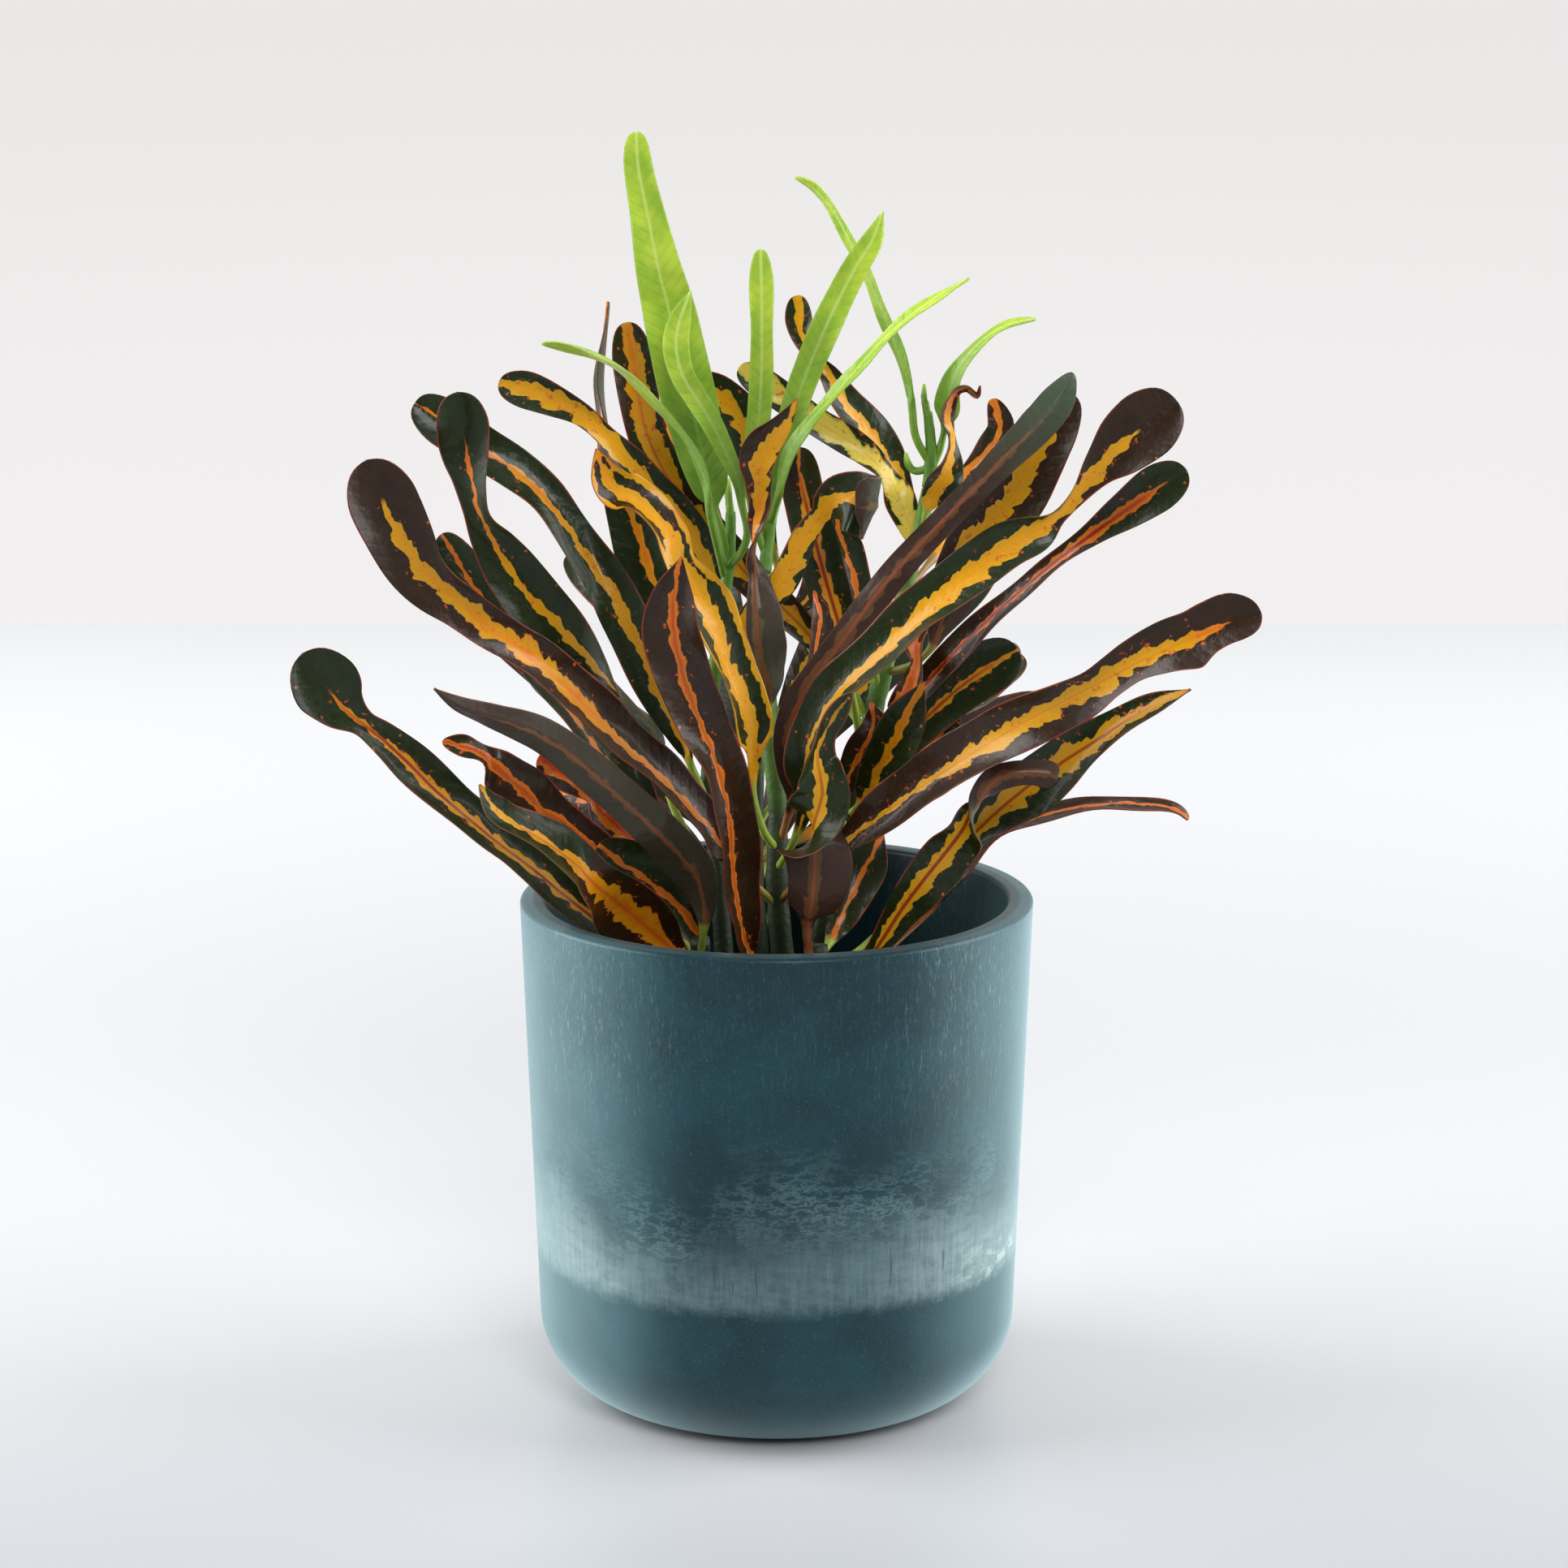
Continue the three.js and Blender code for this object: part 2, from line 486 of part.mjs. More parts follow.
          [26, 123.5, 26, 2.5, 0], [34.2, 136.2, 27, 5, 0, 0.1], [40.1, 144.4, 29, 6.6, 0, 0.12],
          [46.5, 152.7, 31, 6.8, 0, 0.13], [50.7, 158.6, 34, 5.4, 0, 0.3], [52.7, 162.3, 37, 3.8, 35],
          [54.2, 165.1, 39, 3, 95], [55.9, 168.4, 41, 3.4, 150], [59.1, 172.1, 42, 3.8, 172],
          [63.7, 173.9, 43, 3.6, 178], [68.8, 174.4, 43, 3.5, 180], [73.5, 173.9, 43, 3.9, 180],
          [76.3, 172.8, 43, 3.6, 180],
        ],
      },
      "pointed_right": {
        "fold": 22,
        "stalk": [[11.9, 119, 24], [22, 124, 19], [34, 136, 17]],
        "blade": [
          [44, 147, 17, 3, 0], [52, 155.5, 19, 4.6, 5], [60, 163.5, 21, 6.4, 0],
          [68.5, 170.8, 23, 8.2, -5, 0.1], [77.5, 177.2, 25, 7.6, 5, 0.08], [86, 182.6, 27, 5.8, 20, -0.1],
          [94.5, 188.2, 29, 5, 35], [103, 193, 31, 3.6, 40], [112, 197.4, 33, 0.8, 40],
        ],
      },
      "slender_red": {
        "fold": 10,
        "stalk": [[11.9, 117, 24], [25, 121, 12], [40, 134, 5]],
        "blade": [
          [50, 146.5, 2, 3.4, 50], [58, 156, 0, 4.4, 58], [68, 160.8, -2, 4.4, 62],
          [80, 164, -4, 4.2, 62], [92, 165.5, -6, 4, 62], [103, 164.9, -8, 3.2, 62],
          [108.8, 163.6, -9, 2.6, 58], [112, 161.3, -9, 2, 55],
        ],
      },
      "dark_in_pot": {
        "fold": 18,
        "stalk": [[11.5, 121, 24], [14, 126, 18]],
        "blade": [
          [17, 132, 15, 4, 0], [21, 141, 13, 6, 5], [25, 149.5, 11, 6, 5], [29, 158, 9, 1, 0],
        ],
      },
    },
  },
  "leafy_stem_back": {
    "stem": [[-5, 123, -35, 3], [-6, 150, -39, 2.6], [-5, 192, -45, 2.1], [-4, 222, -51, 1.8]],
    "leaves": {
      "back_upright": {
        "fold": 20,
        "stalk": [[-5.1, 186, -44], [-8, 196, -49]],
        "blade": [
          [-11, 207, -54, 4, 0], [-15, 221, -61, 6.5, 5], [-19, 235, -68, 7.2, 5],
          [-23, 249, -75, 7.2, 0], [-27, 262, -82, 6.6, 0], [-29.5, 275, -90, 6, 0],
        ],
      },
      "back_upright_right": {
        "fold": 20,
        "stalk": [[-5.3, 176, -43], [0, 188, -50]],
        "blade": [
          [6, 200, -57, 4, 0], [12, 211, -64, 6, 0], [14, 222, -72, 6.4, 0],
          [11.5, 233, -80, 6, 0], [9, 243, -88, 5.2, 0],
        ],
      },
      "back_sweep_right": {
        "fold": 20,
        "stalk": [[-5.8, 158, -40], [0, 168, -46]],
        "blade": [
          [7, 180, -53, 4, 0], [16, 192, -62, 6.8, 0], [26, 202.5, -71, 7.6, 0],
          [36, 212.5, -80, 7.6, 0], [47, 222.5, -89, 7, 0], [58, 231.5, -98, 6, 0],
        ],
      },
      "back_arm_right": {
        "fold": 20,
        "stalk": [[-6, 149, -39], [5, 155, -45]],
        "blade": [
          [16, 162, -50, 4, 0], [28, 170.5, -56, 6.6, 0], [41, 179.5, -62, 7, 0],
          [54, 186.5, -69, 6.6, 0], [65, 191, -76, 5.6, 0], [74, 194, -83, 4.2, 0],
        ],
      },
      "back_sweep_left": {
        "fold": 20,
        "stalk": [[-6, 152, -39], [-14, 157, -47]],
        "blade": [
          [-22, 163.5, -54, 3.5, 0], [-33, 173.8, -63, 5.5, 0], [-45, 185.5, -72, 6, 0],
          [-57, 197.8, -81, 6, 0], [-69, 208.5, -90, 5.8, 0], [-81, 218.5, -99, 5, 0],
        ],
      },
      "back_low_left": {
        "fold": 18,
        "stalk": [[-5.6, 134, -37], [-16, 146, -44]],
        "blade": [
          [-26, 156, -50, 4, 0], [-36, 162.5, -57, 6.8, 0], [-47, 167, -64, 7.4, 0],
          [-58, 169.5, -71, 6.6, 0], [-68, 171, -78, 5, 0],
        ],
      },
      "back_low_right": {
        "fold": 18,
        "stalk": [[-5.4, 130, -37], [6, 144, -45]],
        "blade": [
          [15, 156, -52, 4, 0], [24, 163, -61, 6, 0], [33, 168.5, -70, 6.4, 0],
          [42, 173, -79, 6, 0], [50, 177, -88, 4.5, 0],
        ],
      },
      "back_high_left": {
        "fold": 20,
        "stalk": [[-4.5, 206, -48], [-8, 211, -61]],
        "blade": [
          [-13, 217, -72, 4, 10], [-19, 225.5, -82, 6.5, 15], [-24, 233.5, -92, 7, 10],
          [-28, 240.5, -101, 6.4, 0], [-31, 246.5, -110, 5, 0],
        ],
      },
      "back_high_right": {
        "fold": 20,
        "stalk": [[-4.2, 211, -49], [3, 217, -53]],
        "blade": [
          [9, 223.5, -57, 3.5, 0], [12, 232, -63, 5.2, 0], [11.5, 240, -69, 5.6, 0],
          [9.5, 248, -76, 5.2, 0], [8, 255, -83, 4, 0],
        ],
      },
      "back_middle": {
        "fold": 20,
        "stalk": [[-5.6, 169, -42], [-6.5, 178, -52]],
        "blade": [
          [-7.5, 186, -62, 4.5, 0], [-9, 193.5, -74, 7, 0], [-10.5, 199.5, -87, 7.6, 0],
          [-11.5, 204, -100, 7, 0], [-12, 207, -112, 5.5, 0],
        ],
      },
      "back_low": {
        "fold": 18,
        "stalk": [[-5.5, 138, -37], [-3, 150, -48]],
        "blade": [
          [0, 160, -58, 4.5, 0], [3, 168.5, -72, 7.2, 0], [6, 174, -86, 7.6, 0],
          [8, 176, -100, 6, 0],
        ],
      },
    },
  },
  "green_shoot_left": {
    "stem": [[-13.9, 222.5, -8, 1.8], [-12.6, 236, -8, 1.7], [-12.3, 246, -8, 1.3]],
    "leaves": {
      "tallest_green": {
        "fold": 14,
        "stalk": [[-13.2, 233, -8], [-14.8, 241, -6], [-16.6, 247, -5]],
        "blade": [
          [-17.7, 252, -4, 4.5, 5], [-19.3, 260, -3, 6.6, 8], [-21.6, 270, -3, 7.3, 8],
          [-24.2, 281, -2, 7.8, 8], [-26.6, 291.5, -2, 7.6, 5], [-28.9, 301.5, -2, 7.2, 0],
          [-31.6, 312.5, -1, 6.2, 0], [-34, 325, -1, 4.9, 0], [-36.5, 338, 0, 4, 0],
          [-37, 347.5, 0, 3.8, 0],
        ],
      },
      "curled_green": {
        "fold": 12,
        "stalk": [[-12.9, 231, -8], [-9.5, 235, -3], [-7.8, 240.5, 0], [-9.3, 248, 2]],
        "blade": [
          [-10.3, 254.5, 3, 1.8, 0], [-13.5, 262, 4, 2.5, 0], [-17.5, 270.3, 5, 3, 0],
          [-22, 277.5, 6, 3.2, 0], [-25.3, 283.5, 7, 3.4, 0], [-26.8, 291, 7, 3.7, 0],
          [-25.6, 298, 7, 3, 0], [-22.7, 305.4, 7, 0.8, 0],
        ],
      },
      "side_green": {
        "fold": 8,
        "stalk": [[-14, 228.5, -8], [-16, 237, -3], [-18, 246, 1]],
        "blade": [
          [-19, 255, 3, 1.8, 60], [-23, 264, 4, 2.6, 68], [-28, 271, 4, 3, 72],
          [-34.5, 278.2, 4, 3, 75], [-42, 284.7, 4, 3, 75], [-49.5, 288.7, 4, 2.8, 75],
          [-56.5, 290.7, 4, 2.4, 72], [-62.5, 291.3, 4, 1.6, 70],
        ],
      },
      "left_bud": {
        "fold": 5,
        "stalk": [[-12.3, 243, -8], [-12.5, 247, -8]],
        "blade": [[-13, 250.5, -8, 1.1, 30], [-13, 255, -8, 0.7, 30]],
      },
    },
  },
  "green_shoot_center": {
    "stem": [[-3.2, 229.6, -4, 1.8], [-2.2, 238, -5, 1.7], [-1.2, 245, -5, 1.3]],
    "leaves": {
      "notched_green": {
        "fold": 12,
        "stalk": [[-2.8, 234, -5], [-5.5, 242, -4], [-7, 249, -3]],
        "blade": [
          [-6.8, 254.5, -2, 2.2, 0], [-5.8, 263, -2, 3, 0], [-4.6, 273, -2, 3.3, 0],
          [-4, 284, -2, 3.3, 0], [-3.9, 295, -1, 3, 0], [-4, 306, -1, 3.4, 0],
          [-4.2, 316.5, -1, 3.1, 0],
        ],
      },
      "leaning_green": {
        "fold": 14,
        "stalk": [[-1.6, 242, -5], [-0.6, 250, -3]],
        "blade": [
          [0.5, 257, -1, 2.2, 0], [2.8, 267, 0, 3.4, 0], [5.8, 277.5, 1, 3.8, 0],
          [9.2, 286.5, 1, 4, 0], [13, 295.5, 2, 4.2, 0], [17, 304, 2, 3.9, 0],
          [21.2, 312, 3, 3.6, 0], [25.5, 319, 3, 2.9, 0], [28.2, 326.5, 3, 0.8, 0],
        ],
      },
      "slender_green": {
        "fold": 10,
        "stalk": [[-1.4, 243, -5], [0.2, 249, 0]],
        "blade": [
          [2, 256, 4, 1.8, 40], [4.5, 263.5, 6, 2.4, 50], [8.5, 269.5, 7, 2.8, 55],
          [14, 275.5, 8, 2.8, 60], [20.3, 282.8, 9, 2.8, 62], [27.5, 291, 9, 2.8, 62],
          [35, 297.8, 9, 2.6, 62], [43, 303.8, 9, 2, 62], [51.2, 308.8, 9, 0.8, 62],
        ],
      },
    },
  },
  "green_shoot_right": {
    "stem": [[40.7, 252.6, -25, 1.9], [41.4, 262, -25, 1.7], [40.4, 273, -25, 1.2]],
    "leaves": {
      "crossing_green": {
        "fold": 8,
        "stalk": [[41.2, 259, -25], [37.3, 266, -24], [36.2, 274, -24]],
        "blade": [
          [35.6, 280, -24, 2, 55], [33, 288.5, -24, 2.9, 60], [29.5, 297.5, -24, 3.1, 60],
          [25.5, 307, -24, 2.9, 60], [20.5, 317, -24, 2.6, 60], [15.5, 326.5, -24, 2.4, 58],
          [10, 332.7, -24, 2, 55], [5, 335.4, -24, 0.8, 55],
        ],
      },
      "arching_green": {
        "fold": 10,
        "stalk": [[41.2, 257, -25], [43.5, 262.5, -25], [45, 268.5, -24]],
        "blade": [
          [45.8, 274, -23, 3.8, 20], [47, 281, -23, 3, 35], [50.5, 287.3, -23, 2.3, 50],
          [55.5, 292.5, -23, 2.3, 58], [61.5, 296, -23, 2, 60], [69, 297.9, -23, 0.8, 60],
        ],
      },
      "right_bud": {
        "fold": 5,
        "stalk": [[40.6, 270, -25], [39.9, 274.5, -25]],
        "blade": [[39.4, 277, -25, 1.1, 30], [39.4, 280.5, -25, 0.7, 30]],
      },
      "low_bud": {
        "fold": 5,
        "stalk": [[41, 258, -25], [37.6, 257, -26]],
        "blade": [[35.6, 258.5, -26, 1.2, 30], [34.6, 262, -26, 0.7, 30]],
      },
    },
  },
};

const GREEN = { color: "#7fae3a", roughness: 0.4, metalness: 0 };
const DARK_LEAF = { color: "#2c3a22", roughness: 0.35, metalness: 0 };
const FINISHES = {
  pot: { color: "#5f8187", roughness: 0.6, metalness: 0 },
  soil: { color: "#2b2019", roughness: 0.95, metalness: 0 },
  leafy_stem: DARK_LEAF,
  green_shoot: GREEN,
};

const radians = (degrees) => (degrees * Math.PI) / 180;

// A smooth curve through rows of numbers, at a place counted in rows.
function flow(rows, place) {
  const last = rows.length - 1;
  const i = Math.min(Math.floor(place), last - 1);
  const u = place - i;
  const [a, b, c, d] = [i - 1, i, i + 1, i + 2].map((k) => rows[Math.min(Math.max(k, 0), last)]);
  return b.map(
    (value, k) =>
      0.5 *
      (2 * value +
        (c[k] - a[k]) * u +
        (2 * a[k] - 5 * value + 4 * c[k] - d[k]) * u ** 2 +
        (3 * value - a[k] - 3 * c[k] + d[k]) * u ** 3),
  );
}

// The point that the eye sees at a place on the upright plane, brought nearer by some distance.
function sighted([right, up, near]) {
  const seen = new THREE.Vector3(right, 0, up);
  const extra = Math.max(near, LAST_STRETCHED) * (DEPTH_STRETCH - 1);
  const share = (near + extra) / seen.distanceTo(EYE);
  return { point: seen.lerp(EYE, share), scale: 1 - share };
}

// A closed solid through rings of points that run clockwise as seen from the first ring.
// The lower half of each ring is split along the same diagonals as the upper half.
function loft(rings) {
  const sides = rings[0].length;
  const corners = [];
  for (let i = 0; i + 1 < rings.length; i++) {
    for (let j = 0; j < sides; j++) {
      const near = [i * sides + j, i * sides + ((j + 1) % sides)];
      const far = near.map((corner) => corner + sides);
      if (j < sides / 2) {
        corners.push(near[0], near[1], far[1], near[0], far[1], far[0]);
      } else {
        corners.push(near[0], near[1], far[0], near[1], far[1], far[0]);
      }
    }
  }
  const end = (rings.length - 1) * sides;
  for (let j = 2; j < sides; j++) {
    const next = (j + 1) % sides;
    corners.push(1, next, j);
    corners.push(end + 1, end + j, end + next);
  }
  const positions = rings.flat().flatMap((point) => point.toArray());
  return new wasm.Manifold(
    new wasm.Mesh({
      numProp: 3,
      vertProperties: new Float32Array(positions),
      triVerts: new Uint32Array(corners),
    }),
  );
}

// Rows down a leaf of [x, y, z, side x, side y, side z, half width, lean, half edge, half midrib,
// fold]. A lean of 0.1 makes the right half a tenth wider and the left half a tenth narrower.
function leafRows({ fold, stalk, blade }) {
  const stalkShape = [STALK_RADIUS * HEXAGON_REACH, 0, STALK_RADIUS / 2, STALK_RADIUS, 0];
  const points = [];
  const shapes = [];
  const rolls = [];
  for (const row of stalk) {
    points.push(sighted(row).point);
    shapes.push(stalkShape);
    rolls.push(blade[0][4]);
  }
  for (const row of blade) {
    const { point, scale } = sighted(row);
    points.push(point);
    const [half, roll, lean = 0] = row.slice(3);
    shapes.push([half * scale, lean, HALF_EDGE_THICKNESS, HALF_MIDRIB_THICKNESS, fold]);
    rolls.push(roll);
  }
  return points.map((point, i) => {
    const before = points[Math.max(i - 1, 0)];
    const after = points[Math.min(i + 1, points.length - 1)];
    const along = after.clone().sub(before).normalize();
    const sight = EYE.clone().sub(point).normalize();
    const side = along.clone().cross(sight).normalize();
    side.applyAxisAngle(along, -radians(rolls[i]));
    return [...point, ...side, ...shapes[i]];
  });
}

// One leaf with its stalk as a solid. Its tip is rounded off.
function makeLeaf(leaf) {
  const rows = leafRows(leaf);
  const last = rows.length - 1;
  const places = [];
  for (let i = 0; i < last; i++) {
    places.push([i, 1]);
  }
  for (let k = 1; k <= TIP_STEPS; k++) {
    const turn = (Math.PI / 2) * (k / TIP_STEPS);
    places.push([last - 1 + Math.sin(turn), Math.cos(turn)]);
  }
  const rings = places.map(([place, narrowing]) => {
    const row = flow(rows, place);
    const [width, lean, edge, middle, fold] = row.slice(6);
    const half = Math.max(LEAST_HALF_WIDTH, width * narrowing);
    const centre = new THREE.Vector3(...row);
    const before = new THREE.Vector3(...flow(rows, Math.max(place - TANGENT_STEP, 0)));
    const after = new THREE.Vector3(...flow(rows, Math.min(place + TANGENT_STEP, last)));
    const along = after.sub(before).normalize();
    const side = new THREE.Vector3(...row.slice(3)).projectOnPlane(along).normalize();
    const face = side.clone().cross(along);
    const at = (across, rise) =>
      centre.clone().addScaledVector(side, across).addScaledVector(face, rise);
    const out = half * Math.cos(radians(fold));
    const up = half * Math.sin(radians(fold));
    const left = 1 - lean;
    const right = 1 + lean;
    return [
      at(-out * left, up * left + edge),
      at(0, middle),
      at(out * right, up * right + edge),
      at(out * right, up * right - edge),
      at(0, -middle),
      at(-out * left, up * left - edge),
    ];
  });
  return loft(rings);
}

// A ring of points round an upright or leaning axis, clockwise as seen from below.
function ringRound(centre, along, radius, sides) {
  const across = new THREE.Vector3(0, -1, 0).cross(along).normalize();
  const other = along.clone().cross(across);
  return Array.from({ length: sides }, (_, k) => {
    const turn = radians((360 * (k + 0.5)) / sides);
    return centre
      .clone()
      .addScaledVector(across, radius * Math.cos(turn))
      .addScaledVector(other, radius * Math.sin(turn));
  });
}

const UPWARD = new THREE.Vector3(0, 0, 1);

// A stem through its points. One that stands in the soil goes straight down to its root end.
function makeStem(rows, rooted) {
  const points = rows.map((row) => sighted(row).point);
  const radii = rows.map((row) => row[3]);
  if (rooted) {
    points.unshift(points[0].clone().setZ(ROOT_END));
    radii.unshift(radii[0]);
  }
  const rings = points.map((point, i) => {
    const before = points[Math.max(i - 1, 0)];
    const after = points[Math.min(i + 1, points.length - 1)];
    const upright = rooted && i < 2;
    const along = upright ? UPWARD : after.clone().sub(before).normalize();
    return ringRound(point, along, radii[i], STEM_SIDES);
  });
  return loft(rings);
}

// A stem and all its leaves as one solid.
function makeBranch({ stem, leaves }, rooted) {
  return Object.values(leaves).reduce(
    (whole, leaf) => whole.add(makeLeaf(leaf)),
    makeStem(stem, rooted),
  );
}

// A quarter turn of profile points about a centre, from one angle to another.
function arc(radius, height, size, from, to) {
  return Array.from({ length: FILLET_STEPS + 1 }, (_, k) => {
    const turn = radians(from + ((to - from) * k) / FILLET_STEPS);
    return [radius + size * Math.cos(turn), height + size * Math.sin(turn)];
  });
}

// A solid turned round the axis from its profile, which rises along the outside.
function turned(profile) {
  const inner = profile.filter(([radius]) => radius > 0);
  const starts = profile[0][1];
  const ends = profile[profile.length - 1][1];
  const positions = [];
  for (const [radius, height] of inner) {
    for (let k = 0; k < ROUND_STEPS; k++) {
      const turn = radians((360 * k) / ROUND_STEPS);
      positions.push(radius * Math.cos(turn), radius * Math.sin(turn), height);
    }
  }
  const first = inner.length * ROUND_STEPS;
  const final = first + 1;
  positions.push(0, 0, starts, 0, 0, ends);
  const corners = [];
  for (let k = 0; k < ROUND_STEPS; k++) {
    const next = (k + 1) % ROUND_STEPS;
    for (let i = 0; i + 1 < inner.length; i++) {
      const low = i * ROUND_STEPS;
      const high = low + ROUND_STEPS;
      corners.push(low + k, low + next, high + next, low + k, high + next, high + k);
    }
    const top = (inner.length - 1) * ROUND_STEPS;
    corners.push(first, next, k);
    corners.push(final, top + k, top + next);
  }
  return new wasm.Manifold(
    new wasm.Mesh({
      numProp: 3,
      vertProperties: new Float32Array(positions),
      triVerts: new Uint32Array(corners),
    }),
  );
}

// The radius of the pot's outer face at a height.
const outerRadius = (height) =>
  FOOT_RADIUS + ((RIM_RADIUS - FOOT_RADIUS) * height) / POT_HEIGHT;

function makePot() {
  const innerFillet = FOOT_FILLET - WALL;
  const filletRadius = outerRadius(FOOT_FILLET) - FOOT_FILLET;
  const innerRim = RIM_RADIUS - WALL;
  return turned([
    [0, 0],
    ...arc(filletRadius, FOOT_FILLET, FOOT_FILLET, -90, 0),
    [RIM_RADIUS, POT_HEIGHT - RIM_EASE],
    [RIM_RADIUS - RIM_EASE, POT_HEIGHT],
    [innerRim + RIM_EASE, POT_HEIGHT],
    [innerRim, POT_HEIGHT - RIM_EASE],
    ...arc(filletRadius, FOOT_FILLET, innerFillet, 0, -90),
    [0, WALL],
  ]);
}

// The soil fills the pot, rises a little in the middle, and has a plain hole for each rooted stem.
function makeSoil() {
  const fillet = FOOT_FILLET - WALL - CLEARANCE;
  const filletRadius = outerRadius(FOOT_FILLET) - FOOT_FILLET;
  const edge = outerRadius(SOIL_TOP) - WALL - CLEARANCE;
  const body = turned([
    [0, WALL + CLEARANCE],
    ...arc(filletRadius, FOOT_FILLET, fillet, -90, 0),
    ...SOIL_SLOPE.map(([out, down]) => [edge * out, SOIL_TOP - SOIL_RISE * down]),
  ]);
  return rootedStems().reduce((soil, { stem }) => {
    const { point } = sighted(stem[0]);
    const radius = (stem[0][3] + CLEARANCE) / Math.cos(Math.PI / HOLE_SIDES);
    const ends = [ROOT_END - CLEARANCE, POT_HEIGHT];
    const rings = ends.map((z) => ringRound(point.clone().setZ(z), UPWARD, radius, HOLE_SIDES));
    return soil.subtract(loft(rings));
  }, body);
}

function rootedStems() {
  return Object.entries(PLANT)
    .filter(([name]) => name.startsWith("leafy_stem"))
    .map(([, branch]) => branch);
}

// A named mesh of a solid.
function asMesh(name, solid, finish) {
  const { vertProperties, triVerts } = solid.getMesh();
  const geometry = new THREE.BufferGeometry();
  geometry.setAttribute("position", new THREE.BufferAttribute(vertProperties, 3));
  geometry.setIndex(new THREE.BufferAttribute(triVerts, 1));
  geometry.computeVertexNormals();
  const mesh = new THREE.Mesh(geometry, new THREE.MeshStandardMaterial(finish));
  mesh.name = name;
  return mesh;
}

const croton = new THREE.Group();
croton.add(asMesh("pot", makePot(), FINISHES.pot));
croton.add(asMesh("soil", makeSoil(), FINISHES.soil));
for (const [name, branch] of Object.entries(PLANT)) {
  const rooted = name.startsWith("leafy_stem");
  const finish = rooted ? FINISHES.leafy_stem : FINISHES.green_shoot;
  croton.add(asMesh(name, makeBranch(branch, rooted), finish));
}

export default croton;
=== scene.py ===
"""A croton in a round stone-composite pot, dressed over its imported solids."""

import math
import random
from dataclasses import dataclass

import bpy
import numpy as np
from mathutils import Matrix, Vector, noise


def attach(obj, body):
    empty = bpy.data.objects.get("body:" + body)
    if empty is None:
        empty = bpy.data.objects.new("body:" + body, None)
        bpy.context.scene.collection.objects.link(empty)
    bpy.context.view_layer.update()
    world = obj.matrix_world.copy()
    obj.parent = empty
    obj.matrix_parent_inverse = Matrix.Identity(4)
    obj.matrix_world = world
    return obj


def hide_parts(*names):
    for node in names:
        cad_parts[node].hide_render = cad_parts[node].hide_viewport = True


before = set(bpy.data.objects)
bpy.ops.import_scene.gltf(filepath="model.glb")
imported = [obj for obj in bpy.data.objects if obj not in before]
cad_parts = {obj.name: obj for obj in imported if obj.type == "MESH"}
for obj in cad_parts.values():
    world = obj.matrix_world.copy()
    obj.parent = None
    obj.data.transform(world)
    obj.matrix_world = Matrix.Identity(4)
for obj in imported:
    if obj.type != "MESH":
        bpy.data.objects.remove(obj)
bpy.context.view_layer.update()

MM = 0.001

# The camera stands in front of the pot and looks a little down on it. Lengths are in millimetres.
EYE = np.array([2.0, -1300.0, 458.0])
LOOK_HEIGHT = 171.2
PHOTO_PIXELS = 1932
FOCAL_PIXELS = 6040
SENSOR_WIDTH = 36.0

# The measured depths are stretched, as far back as this one, to make the plant a full bush.
DEPTH_STRETCH = 1.6
LAST_STRETCHED = -15.0

# The pot, in millimetres
POT_HEIGHT = 140.0
RIM_RADIUS = 70.0
FOOT_RADIUS = 64.6
WALL = 7.0
FOOT_FILLET = 25.0
RIM_EASE = 1.2
POT_SIDES = 192
# The rings of the flat underside, as shares of its radius
FLAT_RINGS = (0.0, 0.4, 0.8)
WALL_STEPS = 23
EASE_STEPS = 6
FILLET_STEPS = 20
INNER_FILLET_STEPS = 12

# The soil, in millimetres. Its skin lies inside the solid, so that its lumps and crumbs do too.
SOIL_TOP = 111.0
SOIL_RISE = 3.0
CLEARANCE = 0.3
SKIN_INSET = 0.2
SKIN_DEPTH = 1.2
# How far the soil's edge lies below its solid's, and the share of the radius where its top begins
EDGE_DROP = 1.0
TOP_SHARE = 0.985
SOIL_SIDES = 128
SOIL_STEPS = 29
SOIL_FILLET_STEPS = 8
# Each set of lumps has a height and a fineness. Only points above the lump line are moved.
LUMPS = ((1.4, 160), (0.7, 420))
LUMP_LINE = 106.0
HIGHEST_LUMP = 1.1
CRUMBS = 520
CRUMB_SEED = 11
CRUMB_SIZES = (0.6, 1.7)
CRUMB_SIDES = 6
CRUMB_RINGS = 5
CRUMB_MARGIN = 3.0
CRUMB_DEPTH = 1.0
HIGHEST_CRUMB = 110.4
# A crumb's height as a share of its width, how far it stands up, and its lumps
CRUMB_HEIGHT = 0.7
CRUMB_LIFT = 0.2
CRUMB_LUMP = 0.45
CRUMB_FINENESS = 1.7

# The stems and leaves, in millimetres
ROOT_END = 84.0
STEM_SIDES = 24
STEM_STEPS = 6
STEM_SHRINK = 0.98
# Each set of knots has a depth, as a share of the stem's radius, and a spacing.
KNOTS = ((0.05, 1.9), (0.03, 0.8))
STALK_RADIUS = 1.1
EDGE_HALF_THICKNESS = 0.2
MIDDLE_HALF_THICKNESS = 0.45
RIB_HEIGHT = 0.4
RIB_HALF_WIDTH = 0.7
RIPPLE_HEIGHT = 0.45
RIPPLE_LENGTH = 4.2
LEAST_HALF_WIDTH = 0.35
# The blade rises from its midrib at this share of the fold, and at all of it by the edge.
FIRST_FOLD = 0.35
# Rows and columns of the leaves' skin, and the step in rows that a direction is taken over
LEAF_STEPS = 5
TIP_STEPS = 9
HALF_COLUMNS = 5
TANGENT_STEP = 0.02
# In the paint, the stalk counts as this far from the blade's margin, and the leaves lie this far
# apart in the noise.
STALK_MARGIN = 5
SEED_SPACING = 37.0

